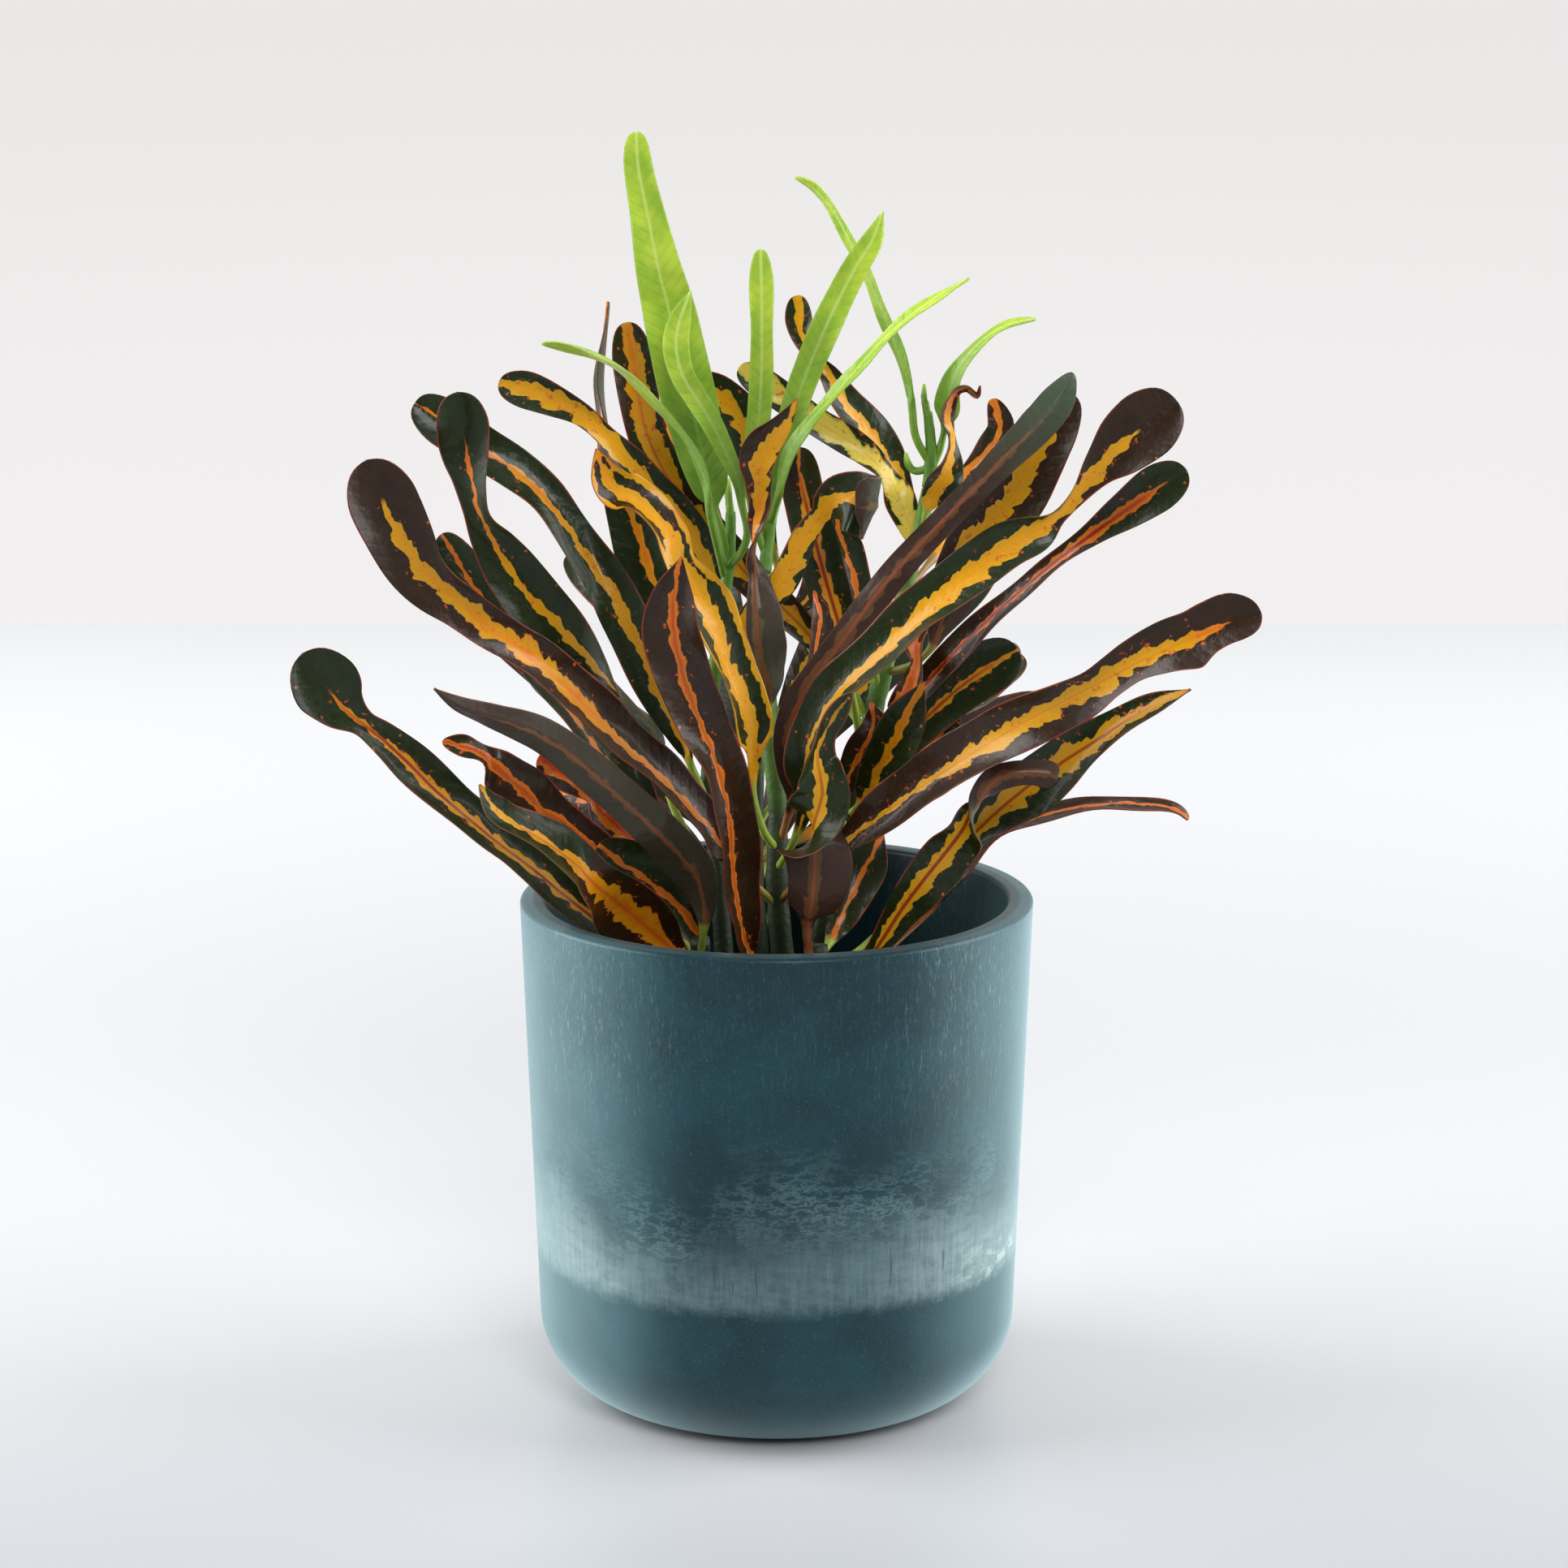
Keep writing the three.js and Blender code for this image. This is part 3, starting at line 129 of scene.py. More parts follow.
# The stage, in metres: the floor's edges, and how far the ground goes on beyond them
FLOOR_EDGE = 2.2
FLOOR_BACK = 1.152
GROUND_EDGE = 30.0


@dataclass
class Leaf:
    """The shape and paint of a leaf, as the table below gives them."""

    name: str
    fold: float
    stalk: list
    blade: list
    red: tuple = (0,)
    band: tuple = (0,)
    glow: tuple = (0,)
    rib: float = 0.1
    rim: float = 0.0


@dataclass
class Stem:
    """A stem or shoot, and the leaves that grow on it."""

    name: str
    points: tuple
    leaves: list


PLANT = []


def stem(name, *points):
    """List a stem. The leaves that follow it in the table grow on it."""
    PLANT.append(Stem(name, points, []))


def leaf(*shape, **paint):
    """List a leaf of the last stem."""
    PLANT[-1].leaves.append(Leaf(*shape, **paint))


# Each stem point is [right, up, near, radius]. Right and up are measured where the eye's line of
# sight meets the upright plane through the pot's axis, and near is how far along that line the
# point lies in front of the plane before the stretch.
# A leaf's fold is how far, in degrees, each half of its blade rises beside the midrib. Its stalk's
# points are [right, up, near] and its blade's are [right, up, near, half width, roll], some with a
# lean that makes one half of the blade wider than the other. A roll of 0 shows the upper face to
# the eye, 90 is edge on and 180 shows the underside.
# Red, band and glow are spread evenly from the leaf's base to its tip. Red is the share of burgundy
# in its ground colour. Band is the half width of the bright middle band in millimetres, and ends it
# short where it falls below 0. Glow is the band's colour, from lemon at -1 and yellow at 0 through
# orange to red at 1. Rib is how red the midrib is, and rim the width of a bright margin.
stem("leafy_stem_center",
     [2.5, 112, 6, 3.3], [0.5, 135, 6, 3.1], [0, 150, 6, 2.9], [0.3, 165, 5, 2.7], [-1.4, 180, 4, 2.5],
     [-2.8, 205, 0, 2.2], [-3.2, 229, -4, 1.9])
leaf("front_burgundy", 25, [[1.5, 117, 7], [-4, 119, 13]], [
    [-8, 125, 18, 3, -30], [-11, 137, 23, 8, -50], [-12.5, 150, 27, 9, -50], [-13.5, 163, 31, 8.5, -45],
    [-17, 178, 35, 8, -40], [-22, 191, 38, 8, -15], [-26, 204, 41, 8.5, 0], [-27.7, 215, 43, 9, 15],
    [-27.5, 225, 44, 6, 5], [-25.5, 233.7, 45, 1, 0]
], red=[0.9, 1, 1, 1], band=[0.7, 1.2, 1.0, 1.2, 1.4, 0.4], glow=[0.9, 0.8, 0.9, 0.6], rib=0.6)
leaf("waved_yellow", 25, [[0.2, 153, 6], [-3.5, 158, 10], [-6.5, 169, 12]], [
    [-6.4, 180, 14, 2.5, -20], [-7.2, 186, 15, 6.5, -30], [-9.3, 194, 17, 7.5, -40],
    [-13, 201.5, 19, 8.5, -50], [-16, 210, 21, 9, -50], [-19, 218, 22, 9, -40], [-22.5, 225, 22, 7, -20],
    [-26, 232, 21, 4.5, -10], [-29, 239, 19, 6, -40], [-33, 244, 18, 7, -50], [-38.5, 248.5, 17, 7, -45],
    [-43, 251.5, 17, 6.5, -20], [-46, 256, 18, 5, -10], [-48.2, 263, 19, 1.5, -10]
], red=[0, 0.2, 0.8, 0.4], band=[2.6, 3, 3, 3, 2, 1], glow=[0, 0, 0.3, 0.3], rim=1.6)
leaf("spiral", 15, [[-1.8, 184, 4], [-2.3, 192, 8]], [
    [-2.1, 198.2, 11, 3.2, 178, -0.3], [-3.4, 202.6, 12, 4.6, 180, -0.4], [-4.6, 208, 13, 5.4, 182, -0.45],
    [-5.2, 213.4, 13.5, 5.3, 182, -0.42], [-5.4, 218.7, 13, 5, 182, -0.42], [-5.6, 223.7, 12, 4, 180, -0.4],
    [-5.8, 229, 11, 2.8, 165, -0.4], [-6.4, 235.5, 10.5, 2.2, 100], [-5.2, 243, 10.5, 2.6, 35],
    [-4.3, 248.9, 11, 3, 10], [-4.9, 254, 12, 3.7, 0], [-4.1, 258.7, 13, 4.9, 0, -0.3],
    [-1.7, 263.2, 14, 5.1, -5, -0.42], [1.4, 267.3, 15, 3.9, -5, -0.5], [3.5, 271.6, 15.5, 2.2, 0, -0.4],
    [5.5, 276.6, 16, 0.7, 0]
], red=[0.5, 0.6, 0.8, 0.9, 0.9, 1], band=[1.2, 1.4, 1.2, 0.8, 1.2, 2.6, 2.6, 0.3],
   glow=[0.3, 0.4, 0.5, 0.2, 0.1])
leaf("long_underside", 15, [[1, 155, 6], [3, 162, 9]], [
    [5, 168, 11, 2.5, 150], [3.5, 176, 13, 3.5, 160], [3, 185, 15, 3.9, 170], [6, 194, 17, 4.1, 175],
    [12, 203, 18, 4.1, 180], [18, 211, 18, 4.1, 180], [24, 219.5, 17, 4.2, 185], [31, 228.5, 16, 4.2, 190],
    [38, 236.5, 15, 4, 190], [46, 245, 14, 3.8, 185], [54, 253, 13, 3.8, 180], [61.5, 261, 12, 4.4, 180],
    [69, 268.5, 11, 5, 180], [75, 276, 10, 4.8, 180], [79, 283.5, 9, 2.6, 180]
], red=[1, 1, 1, 0.7, 0], band=[1, 1.4, 1.4, 0.8, 0], glow=[0.5], rib=0.9)
leaf("right_paddle", 25, [[0.5, 148, 7], [5, 156, 14]], [
    [8.5, 167, 18, 3, 0], [8, 176, 22, 6, 30], [10, 185, 25, 7, 42], [15.5, 194.5, 27, 7.8, 45],
    [23, 202, 28, 8.2, 45], [31, 209.5, 28, 8.2, 42], [39, 217.5, 28, 8.2, 38], [47, 224.5, 28, 7.8, 28],
    [55, 231, 28, 7.5, 15], [63, 236.6, 28, 7, 5, -0.1], [69.5, 240.6, 28, 5.8, -10],
    [75, 245.5, 28, 3.4, -50], [80.5, 251.5, 28, 3.2, -40], [86, 258, 28, 5.4, -15],
    [92, 263.5, 28, 8.8, 0], [98.5, 269.3, 28, 10.2, 0], [106.5, 276.5, 28, 9.6, 0]
], red=[0.4, 0, 0, 0, 0.9, 1], band=[0.5, 0.8, 1.6, 3.2, 2.4, 2.4, 2.2, -2], glow=[0.1, 0, 0.05, 0.2])
leaf("arched_yellow", 8, [[-2.9, 203, 0], [-7, 207, 5]], [
    [-9.5, 213.5, 6, 2.5, 0], [-5, 220, 6, 3.4, 0], [1.1, 226.2, 6, 4, -10], [4.3, 232.7, 6, 4, -20],
    [7.5, 239.3, 6, 3.6, -20], [10.4, 243.8, 6, 2.8, -15], [12.2, 245.7, 6.5, 3, -10],
    [14.4, 248.3, 8, 5.4, -5, 0.1], [17.1, 249.6, 9.5, 7.2, 0, 0.1], [20.6, 249.4, 11, 8.4, 5, 0.1],
    [24.1, 248.5, 12, 8.8, -12, 0.1], [26.5, 247.5, 14, 8.8, -73, 0.1], [24.1, 247.4, 16, 8.2, -163, 0.05],
    [21.2, 247.1, 16.5, 7.2, -168, 0]
], red=[0.3, 0.1, 0, 0, 0, 0.2, 1], band=[3, 3.4, 3.4, 2.4, 1.7, 1.6, 0], glow=[0, 0, 0.1, 0.4, 0.5])
leaf("big_right_arm", 25, [[1.5, 139, 7], [8, 146, 17], [15, 152, 23]], [
    [20, 156, 26, 3.5, 10], [28, 162, 30, 6.5, 20], [36.5, 168, 34, 8, 30], [45, 174, 38, 8.4, 30],
    [53, 179.3, 41, 8.4, 30], [61.4, 184.7, 44, 8.2, 15], [69.4, 189.8, 47, 8.2, -5],
    [77.4, 194.3, 50, 8, -25], [85.5, 198.5, 53, 6.4, -15, 0.12], [91.5, 201.5, 55, 6, -5, -0.05],
    [98, 205, 57, 6.4, 0, -0.18], [106, 208.8, 59, 7.8, 5, -0.05], [113, 211.8, 60, 8.8, 8, 0.12],
    [118, 213.8, 61, 7.6, 8, -0.12], [123.5, 216.2, 62, 7.4, 5, -0.15], [130.8, 218, 63, 6.6, 5]
], red=[0.9, 0.9, 1, 1], band=[0.5, 1, 2.4, 2.6, 2.8, 2, 1.2, -1], glow=[0.05, 0.05, 0.1, 0.3, 0.7], rib=0.3)
leaf("left_yellow_paddle", 25, [[0.3, 137, 6], [-6, 143, 10], [-11, 149, 12]], [
    [-14.5, 153.3, 13, 4, -10], [-20, 160.5, 15, 6.5, -40], [-26, 166.8, 17, 7.5, -50],
    [-33, 173.8, 19, 8.3, -50], [-41, 180.8, 21, 8.8, -50], [-49, 189, 24, 8.6, -45],
    [-57, 197.3, 27, 8, -40], [-64.5, 204.7, 30, 6.6, -30], [-72, 210.3, 32, 6.1, -15],
    [-79, 215.5, 34, 6.3, 0], [-86, 222, 36, 6.8, 10, -0.08], [-92, 227.3, 38, 7.6, 20, -0.12],
    [-97.8, 233, 39, 9, 10], [-102.2, 241.3, 40, 10, 0], [-106, 250, 41, 10.4, 0], [-109.8, 260, 42, 9.4, 0]
], red=[0.8, 0.9, 0.9, 1], band=[0.6, 1.3, 1.8, 2.6, 2.8, 2.2, 2, -1.6], glow=[0.6, 0.5, 0.4, 0.25, 0.2])
leaf("slim_pink", 20, [[-1.8, 183, 3], [2, 188, 1]], [
    [5, 194, -1, 3, -70], [8, 202, -2, 4, -60], [10.5, 210, -3, 4, -50], [11.5, 217, -3, 3.5, -40],
    [10, 224.5, -3, 0.8, -30]
], red=[0.9, 0.7], band=[0.8], glow=[1])

stem("leafy_stem_left",
     [-14, 114, -1, 2.9], [-16, 146, -3, 2.5], [-17.5, 160, -4, 2.3], [-18.5, 176, -6, 2.1],
     [-17, 200, -7, 1.9], [-14, 221.8, -8, 1.8])
leaf("twisted_green_paddle", 20, [[-16.3, 147, -4], [-22, 153.5, -6], [-27.5, 163.5, -6], [-31, 174, -6]], [
    [-33, 183.5, -5, 4, 150], [-37, 190.5, -4, 6, 120], [-43.5, 198, -3, 7, 80], [-51, 206.5, -1, 7.5, 40],
    [-59, 215, 1, 8, 10], [-66, 222.5, 3, 8.4, 0], [-72, 231, 5, 7.8, 0], [-76.5, 239, 7, 6, 10],
    [-79.5, 246.5, 9, 4.5, 40], [-81.2, 254, 11, 6, 45], [-82.7, 261.5, 12, 7, 20],
    [-84, 269.5, 13, 7.6, 0], [-85.2, 278.3, 14, 7.4, 0]
], red=[0, 0, 0.1], band=[0.6, 1.4, 1.3, 0.5, 0.8, -0.8], glow=[0.1, 0.3, 0.9])
leaf("striped_paddle", 22, [[-17.8, 163, -4], [-20.5, 170, -4], [-23.5, 177, -3]], [
    [-25, 182.5, -2, 3, 35], [-28, 190, -1, 5.5, 30], [-31.8, 198.5, -1, 6.5, 25], [-36, 208, -1, 7, 20],
    [-41, 218, -1, 7, 10], [-46, 226.5, -2, 6.5, -10], [-51.5, 234.5, -3, 6, -20],
    [-57, 242.5, -4, 5.8, -25], [-63, 250.5, -5, 6, -25], [-71, 257.5, -6, 6.5, -20],
    [-80, 263.5, -7, 6.5, -10], [-88, 269.5, -8, 7, 0], [-96.5, 275.5, -9, 6.5, 0]
], red=[0.1, 0, 0, 0], band=[1, 1.8, 2, 1.2, 1.1, 0.8, 0.3], glow=[0, 0.2, 0.4, 0.5], rib=0.2)
leaf("hidden_sweep", 22, [[-15.2, 139, -2], [-21, 143, -10], [-27, 152, -14]], [
    [-33, 160, -17, 3, -10], [-39, 168.5, -19, 6, -25], [-45.5, 176.5, -20, 7, -40],
    [-51.5, 184.5, -21, 7, -45], [-58, 193.7, -22, 6.5, -45], [-66, 204, -23, 6, -30],
    [-75, 216, -24, 6, -10], [-83, 228, -25, 6.5, 0], [-90, 240, -26, 5.5, 0]
], red=[0.2, 0, 0.1], band=[0.8, 1, 0.8, 0.5], glow=[0.6])
leaf("green_gold_arm", 18, [[-15.2, 211, -7], [-15.2, 219, -11]], [
    [-16.2, 226, -12, 3, 0], [-19, 232.7, -13, 4.5, 0], [-23, 240.5, -13, 5, 0], [-28, 247.3, -12, 5, 0],
    [-33.5, 252.8, -11, 5, 0], [-39.5, 259.5, -10, 4.5, -10], [-46, 266.3, -9, 3.2, -20],
    [-52, 272, -8, 3.2, -10], [-59.5, 276, -7, 4.5, 0], [-66.5, 278.8, -6, 5.3, 0], [-74.2, 280.6, -5, 5, 0]
], red=[0.2, 0, 0.1], band=[1, 2.2, 1.4, 2.4, 2.8, 1], glow=[0.1, 0.2])
leaf("left_back_high", 20, [[-17.8, 190, -7], [-22, 199, -22]], [
    [-27, 207, -33, 4, 0], [-35, 216, -44, 6.5, 10], [-43, 224, -56, 7, 15], [-50, 229.5, -68, 6, 10],
    [-55.5, 234.5, -79, 4.4, 0]
], red=[0, 0.1], band=[1, 1.8, 1.4, 0.6], glow=[0.2, 0.4])
leaf("left_back_low", 20, [[-18, 168, -5], [-25, 174, -19]], [
    [-33, 180, -31, 4, 0], [-42, 187, -43, 6.8, 15], [-51, 194, -55, 7.2, 20], [-60, 201, -67, 6.4, 10],
    [-67, 207, -78, 5, 0]
], red=[0.8, 1], band=[1, 2.2, 2, 0.8], glow=[0.3, 0.2])
leaf("green_edge_on", 15, [[-17.3, 196, -7], [-20, 202, -13], [-24, 209, -18]], [
    [-27.5, 214, -20, 3.5, 10], [-31, 222, -21, 6.5, 15], [-34, 230.5, -22, 8, 15],
    [-36.2, 238, -22, 8, 15], [-39, 246.5, -22, 7, 20], [-42.5, 257, -22, 5.5, 45],
    [-45.5, 268, -22, 5, 75], [-46.8, 279, -21, 4.5, 85], [-46.2, 290, -20, 3, 88],
    [-44.8, 302.5, -19, 0.8, 88]
], red=[0, 0.1, 0.4], band=[0.8, 1.2, 1, 0.8], glow=[0.4, 0.6])

stem("leafy_stem_right",
     [10.2, 118, -15, 3.3], [15, 145, -17, 3.1], [22, 172, -19, 2.9], [26, 190, -20, 2.8],
     [29.5, 205, -21, 2.6], [34, 222, -23, 2.3], [38, 238, -24, 2.1], [40.6, 252, -25, 1.9])
leaf("orange_spear", 18, [[25.5, 187, -20], [20, 198, -19], [15, 205, -18]], [
    [10, 211, -17, 3, 0], [3, 218.5, -17, 4.5, 0], [-5.5, 226.5, -17, 5, 0], [-13.5, 235, -17, 5.5, 0],
    [-20.5, 242.5, -17, 6, 0], [-26.5, 251, -17, 6.5, 0], [-31, 258.5, -17, 6, 0],
    [-34.8, 267.5, -17, 5.5, 0], [-36.8, 277, -17, 5.7, 0], [-38, 286, -17, 6, 0], [-40, 297, -17, 5.5, 0]
], red=[0.5, 0.5, 0.4], band=[1.5, 2.2, 2.6, 3.2, 3.2, 1.6], glow=[0.3, 0.35, 0.4], rib=0.7)
leaf("red_ribbed", 18, [[23.5, 178, -19], [21.5, 190, -14], [20, 199, -11]], [
    [19, 206, -10, 3, 0], [17, 214.5, -10, 5, 0], [14.5, 223, -10, 6, 0], [12, 232, -10, 6.2, 0],
    [9.8, 240.5, -10, 6.2, 0], [7.8, 248.5, -10, 6, 0], [6.3, 255.5, -10, 5.8, 0], [5.8, 263.5, -10, 5.5, 0]
], red=[0.2, 0.1, 0.6], band=[1.4, 1.6, 1.6, 1.2, 0.4], glow=[0.45, 0.5], rib=1)
leaf("gold_arc", 15, [[36, 230, -24], [36.6, 236, -27]], [
    [36, 241, -28, 3, 0], [33, 249, -29, 4.5, -10], [29.5, 255.5, -30, 3.6, -50],
    [24.5, 261, -31, 3.8, -20], [18, 266, -32, 4.2, 0], [10.5, 270.5, -33, 4, 0], [3, 276, -34, 4.2, 0],
    [-3.5, 280.5, -35, 4.4, 0], [-10, 285, -35, 4.2, 0]
], red=[0, 0.1], band=[3.4, 3.6, 3, 2.2], glow=[-1, -0.9])
leaf("waisted_green", 20, [[37.9, 238.5, -24], [37.4, 243, -33]], [
    [34.6, 248.5, -38, 3, -30], [30, 257.5, -38, 6, -40], [26, 264.5, -39, 6.5, -40],
    [21.5, 270.5, -40, 6.5, -40], [17.3, 276.5, -41, 5, -35], [14, 282.5, -42, 3, -20],
    [11, 287.5, -43, 2, 30], [8, 292, -44, 3, 30], [6.3, 297.5, -45, 4, 20], [5.7, 304.2, -45, 3.8, 10]
], band=[2.4, 2.6, 1.2, 1, 1.2], glow=[0, 0.1])
leaf("broad_burgundy", 20, [[29.5, 205, -21], [35, 214, -17], [41, 223, -14]], [
    [46, 229.5, -12, 4, 0], [52, 237, -11, 7, 0], [58, 243.5, -11, 9, 0], [63.5, 251, -11, 9.8, 0],
    [68, 260, -11, 9.6, 0], [72.5, 268, -11, 8.6, 0], [79, 278, -11, 7, 0]
], red=[0.9, 1, 1], band=[2, 3.2, 4.2, 3.4, 1.2], glow=[0.2, 0.1, 0.2])
leaf("red_narrow_paddle", 20, [[24.5, 183, -20], [29, 187, -14], [34, 191.5, -9]], [
    [39, 197, -6, 3.5, 20], [46, 205, -4, 4.6, 30], [53.5, 212.7, -2, 4.2, 30], [61.5, 220.3, 0, 3.6, 35],
    [69.5, 227.3, 2, 3.2, 40], [77.5, 234, 4, 3, 35], [85.5, 240.3, 5, 3.6, 15], [93.5, 246.2, 6, 5.4, 0],
    [101.5, 252, 7, 6.8, 0], [109.8, 257.4, 8, 6.6, 0]
], red=[1, 0.9, 0.4, 0.1], band=[0.7, 0.8, 0.8, 1.6, 1.6, -0.6], glow=[1, 0.7], rib=1)
leaf("round_green", 18, [[20.5, 166, -18], [25, 172, -16]], [
    [30, 178, -15, 3, 0], [36, 185, -15, 5.5, 0], [43, 192, -15, 6.5, 0], [50, 198.3, -15, 7.2, 0],
    [57, 203.3, -15, 7.8, 0], [65.3, 208.3, -15, 7.4, 0]
], red=[0.1, 0, 0], band=[0.8, 1.2, 1.3, 0.4], glow=[0.4], rib=0.9)
leaf("small_orange", 15, [[18.5, 160, -18], [24, 167, -24]], [
    [30, 174, -27, 3, 0], [36.5, 181, -28, 5, 0], [42.5, 186, -28, 5.2, 0], [49, 191, -28, 4.8, 0]
], red=[0.5, 0.6], band=[2.4, 2.8, 1.6], glow=[0.6, 0.7])
leaf("white_sheen", 22, [[20, 163, -18], [22.5, 165.5, -8]], [
    [25, 169, -3, 4, 0], [28.3, 176, 1, 6, 0], [32, 183, 4, 6.8, -5], [35.5, 191, 6, 6, -5],
    [40, 199.5, 7, 1, 0]
], band=[1.2, 1.4, 0.8], glow=[0.3, 0.5])
leaf("twisted_orange", 12, [[26.6, 192, -20], [29, 190, -10]], [
    [31.5, 190.5, -3, 2.5, 30], [34.5, 195, 0, 3.5, 30], [37.3, 201, -2, 3.6, 40], [38.2, 206.5, -4, 3, 60],
    [37.5, 212, -8, 3.5, 30], [39, 219, -11, 3, 10], [42, 226, -12, 1, 0]
], red=[0.8], band=[2, 2.2, 1.2], glow=[0.8, 0.9])
leaf("dark_inner", 18, [[18.5, 157, -17], [17.5, 165, -10]], [
    [19, 172, -6, 3, 0], [23, 180, -4, 5, 0], [26, 187, -4, 4.5, -20], [25.5, 194, -5, 1, -30]
], red=[0.6, 0.8], band=[0.8, 0.6], glow=[0.9])
leaf("small_underside", 15, [[29.2, 202, -21], [36.5, 204, -15], [41.5, 208.5, -13]], [
    [43.5, 213.5, -13, 3, 180], [46, 219, -13, 5, 180], [49.5, 225.5, -13, 5, 180], [54, 232, -13, 1.5, 180]
], red=[0.8], band=[0.8, 0.4], glow=[0.6])
leaf("far_bud_leaf", 15, [[40.2, 248, -25], [46, 252.5, -32]], [
    [52, 257.5, -36, 2.5, 0], [57, 263, -38, 4, 0], [60, 269, -39, 3.8, 0], [57.5, 276.5, -40, 3, 0]
], red=[0.4, 0.7], band=[1], glow=[0.5])
leaf("dark_behind_fold", 18, [[28, 197, -20], [25.5, 206, -16]], [
    [23.5, 214, -15, 3, 0], [21.8, 223, -15, 4.5, -20], [19.5, 232, -15, 5, -30], [17, 240, -15, 4.5, -10],
    [15.5, 249, -15, 2, 0]
], red=[0.1, 0.2], band=[0.9, 0.7], glow=[0.7])
leaf("right_back_high", 20, [[34.5, 224, -23], [41, 232, -35]], [
    [47, 239.5, -45, 4, 0], [54, 247, -56, 6.5, -10], [60.5, 253, -67, 7, -15], [66, 257.5, -78, 6.4, -10],
    [71, 261, -89, 5, 0]
], red=[0.9], band=[1.2, 2.4, 2, 0.8], glow=[0.1, 0.3])
leaf("right_back_low", 20, [[21.8, 171, -19], [31, 181, -33]], [
    [40, 189, -43, 4, 0], [49, 196.5, -54, 6.6, -15], [56, 201, -65, 6.6, -20],
    [61.5, 204.5, -76, 5.6, -10], [66, 207, -86, 4.2, 0]
], red=[0.1, 0], band=[0.8, 1.6, 1.4, 0.5], glow=[0.4, 0.5])
leaf("withered_hook", 15, [[39, 241, -24], [40.2, 246, -22]], [
    [42, 250, -21, 3.5, -10], [44.5, 254.5, -20, 5, -20], [46.3, 260, -20, 4, -50],
    [46.7, 266.5, -20, 2.2, -70], [45.5, 272.5, -18, 2.6, -40], [47.4, 278.3, -16.5, 1.6, -50],
    [50.9, 279.5, -16, 1, -50], [53.5, 277.2, -16, 0.8, 0], [54.3, 280, -16, 0.6, 0]
], red=[0.2, 0.8, 1], band=[2, 1.6, 0.5, 0], glow=[0.1, 0.7])
leaf("dark_behind_tall", 18, [[24.9, 185, -20], [14, 200, -28], [5, 218, -32], [0, 232, -34]], [
    [-3, 243, -34, 3, 0], [-4, 254, -33, 5, 0], [-6.5, 264, -32, 6, 0], [-10.5, 272, -31, 6.5, 0],
    [-16, 277.5, -30, 6, 0], [-22.5, 282, -29, 5, 0]
], red=[0.2], band=[1, 2, 2.4, 1.2], glow=[0, 0.1])

stem("leafy_stem_front_left", [-20, 109, 16, 3.1], [-21, 128, 17, 2.6])
leaf("low_left_paddle", 22, [[-20, 117, 16], [-30, 121, 13.5]], [
    [-40, 126.5, 13, 3, -20], [-49, 132.5, 14, 6, -30], [-58, 139.8, 17, 7.2, -32],
    [-66.5, 147, 19, 7.6, -40], [-75.5, 154, 20, 7.6, -45], [-84, 161.2, 23, 7.4, -45],
    [-92.5, 168.8, 26, 7, -35], [-100.5, 177.2, 29, 6.6, -25], [-107.5, 184, 32, 5, -15],
    [-112.7, 188.2, 33, 4, -10], [-117.8, 192.7, 34, 7.2, 0], [-121.8, 198.5, 35, 10.1, 0],
    [-128.1, 207.3, 36, 9.6, 0]
], red=[0.3, 0.1, 0, 0], band=[0.8, 1.6, 2, 1.6, 1.1, 0.8, -0.6], glow=[0.3, 0.3, 0.4, 0.5], rib=1)
leaf("pot_edge_orange", 20, [[-20.3, 116, 16], [-24, 119, 21]], [
    [-28, 124.5, 20, 4, 10], [-33.5, 129.5, 21, 8.5, 15], [-39, 134.5, 23, 10, 15],
    [-44.5, 139, 27, 9.5, 10], [-50, 143.3, 34, 7, -15], [-55, 148.5, 37, 7.5, -40],
    [-60.5, 152.8, 40, 8, -50], [-66.5, 156.8, 42, 7, -50], [-72.5, 160.5, 44, 5.5, -45],
    [-77.5, 164.8, 46, 4, -35], [-80.7, 171, 47, 0.8, -30]
], red=[0.8, 0.8, 0.2, 0], band=[2, 4, 3.4, 1.4, 1, 0.3], glow=[0.6, 0.4, 0.2], rib=0.6)
leaf("inner_green_orange", 20, [[-20.5, 121, 16], [-20, 124.5, 14]], [
    [-21.5, 129, 13, 3.5, 0], [-25.5, 135, 13, 6.5, -10], [-30.3, 140.3, 13, 8, -15],
    [-36, 144.8, 13, 8.3, -15], [-42, 149, 13, 7.5, -10], [-48.5, 154.3, 13, 5.5, -5]
], red=[0.3, 0], band=[0.9, 1.1, 0.7], glow=[0.8, 0.6])
leaf("olive_underside", 15, [[-21, 123, 17], [-20, 130, 21]], [
    [-19.8, 137, 22, 3.5, 180], [-21.5, 144.5, 23.5, 6, 180], [-26, 151, 27, 6.4, 185],
    [-32, 157.3, 33, 6.2, 190], [-38.5, 163.7, 36, 6, 190], [-46, 170.4, 40, 5.8, 190],
    [-53.8, 177.5, 44, 5.6, 190], [-61.8, 183.3, 48, 5.2, 195], [-69.7, 187.3, 52, 4.6, 200],
    [-77, 189.8, 56, 3.8, 205], [-85, 192.6, 60, 2.4, 205], [-92.5, 197.5, 64, 0.8, 200]
], red=[0.6, 0.6, 0.8], band=[0.8, 0.8, 0], glow=[0.6])
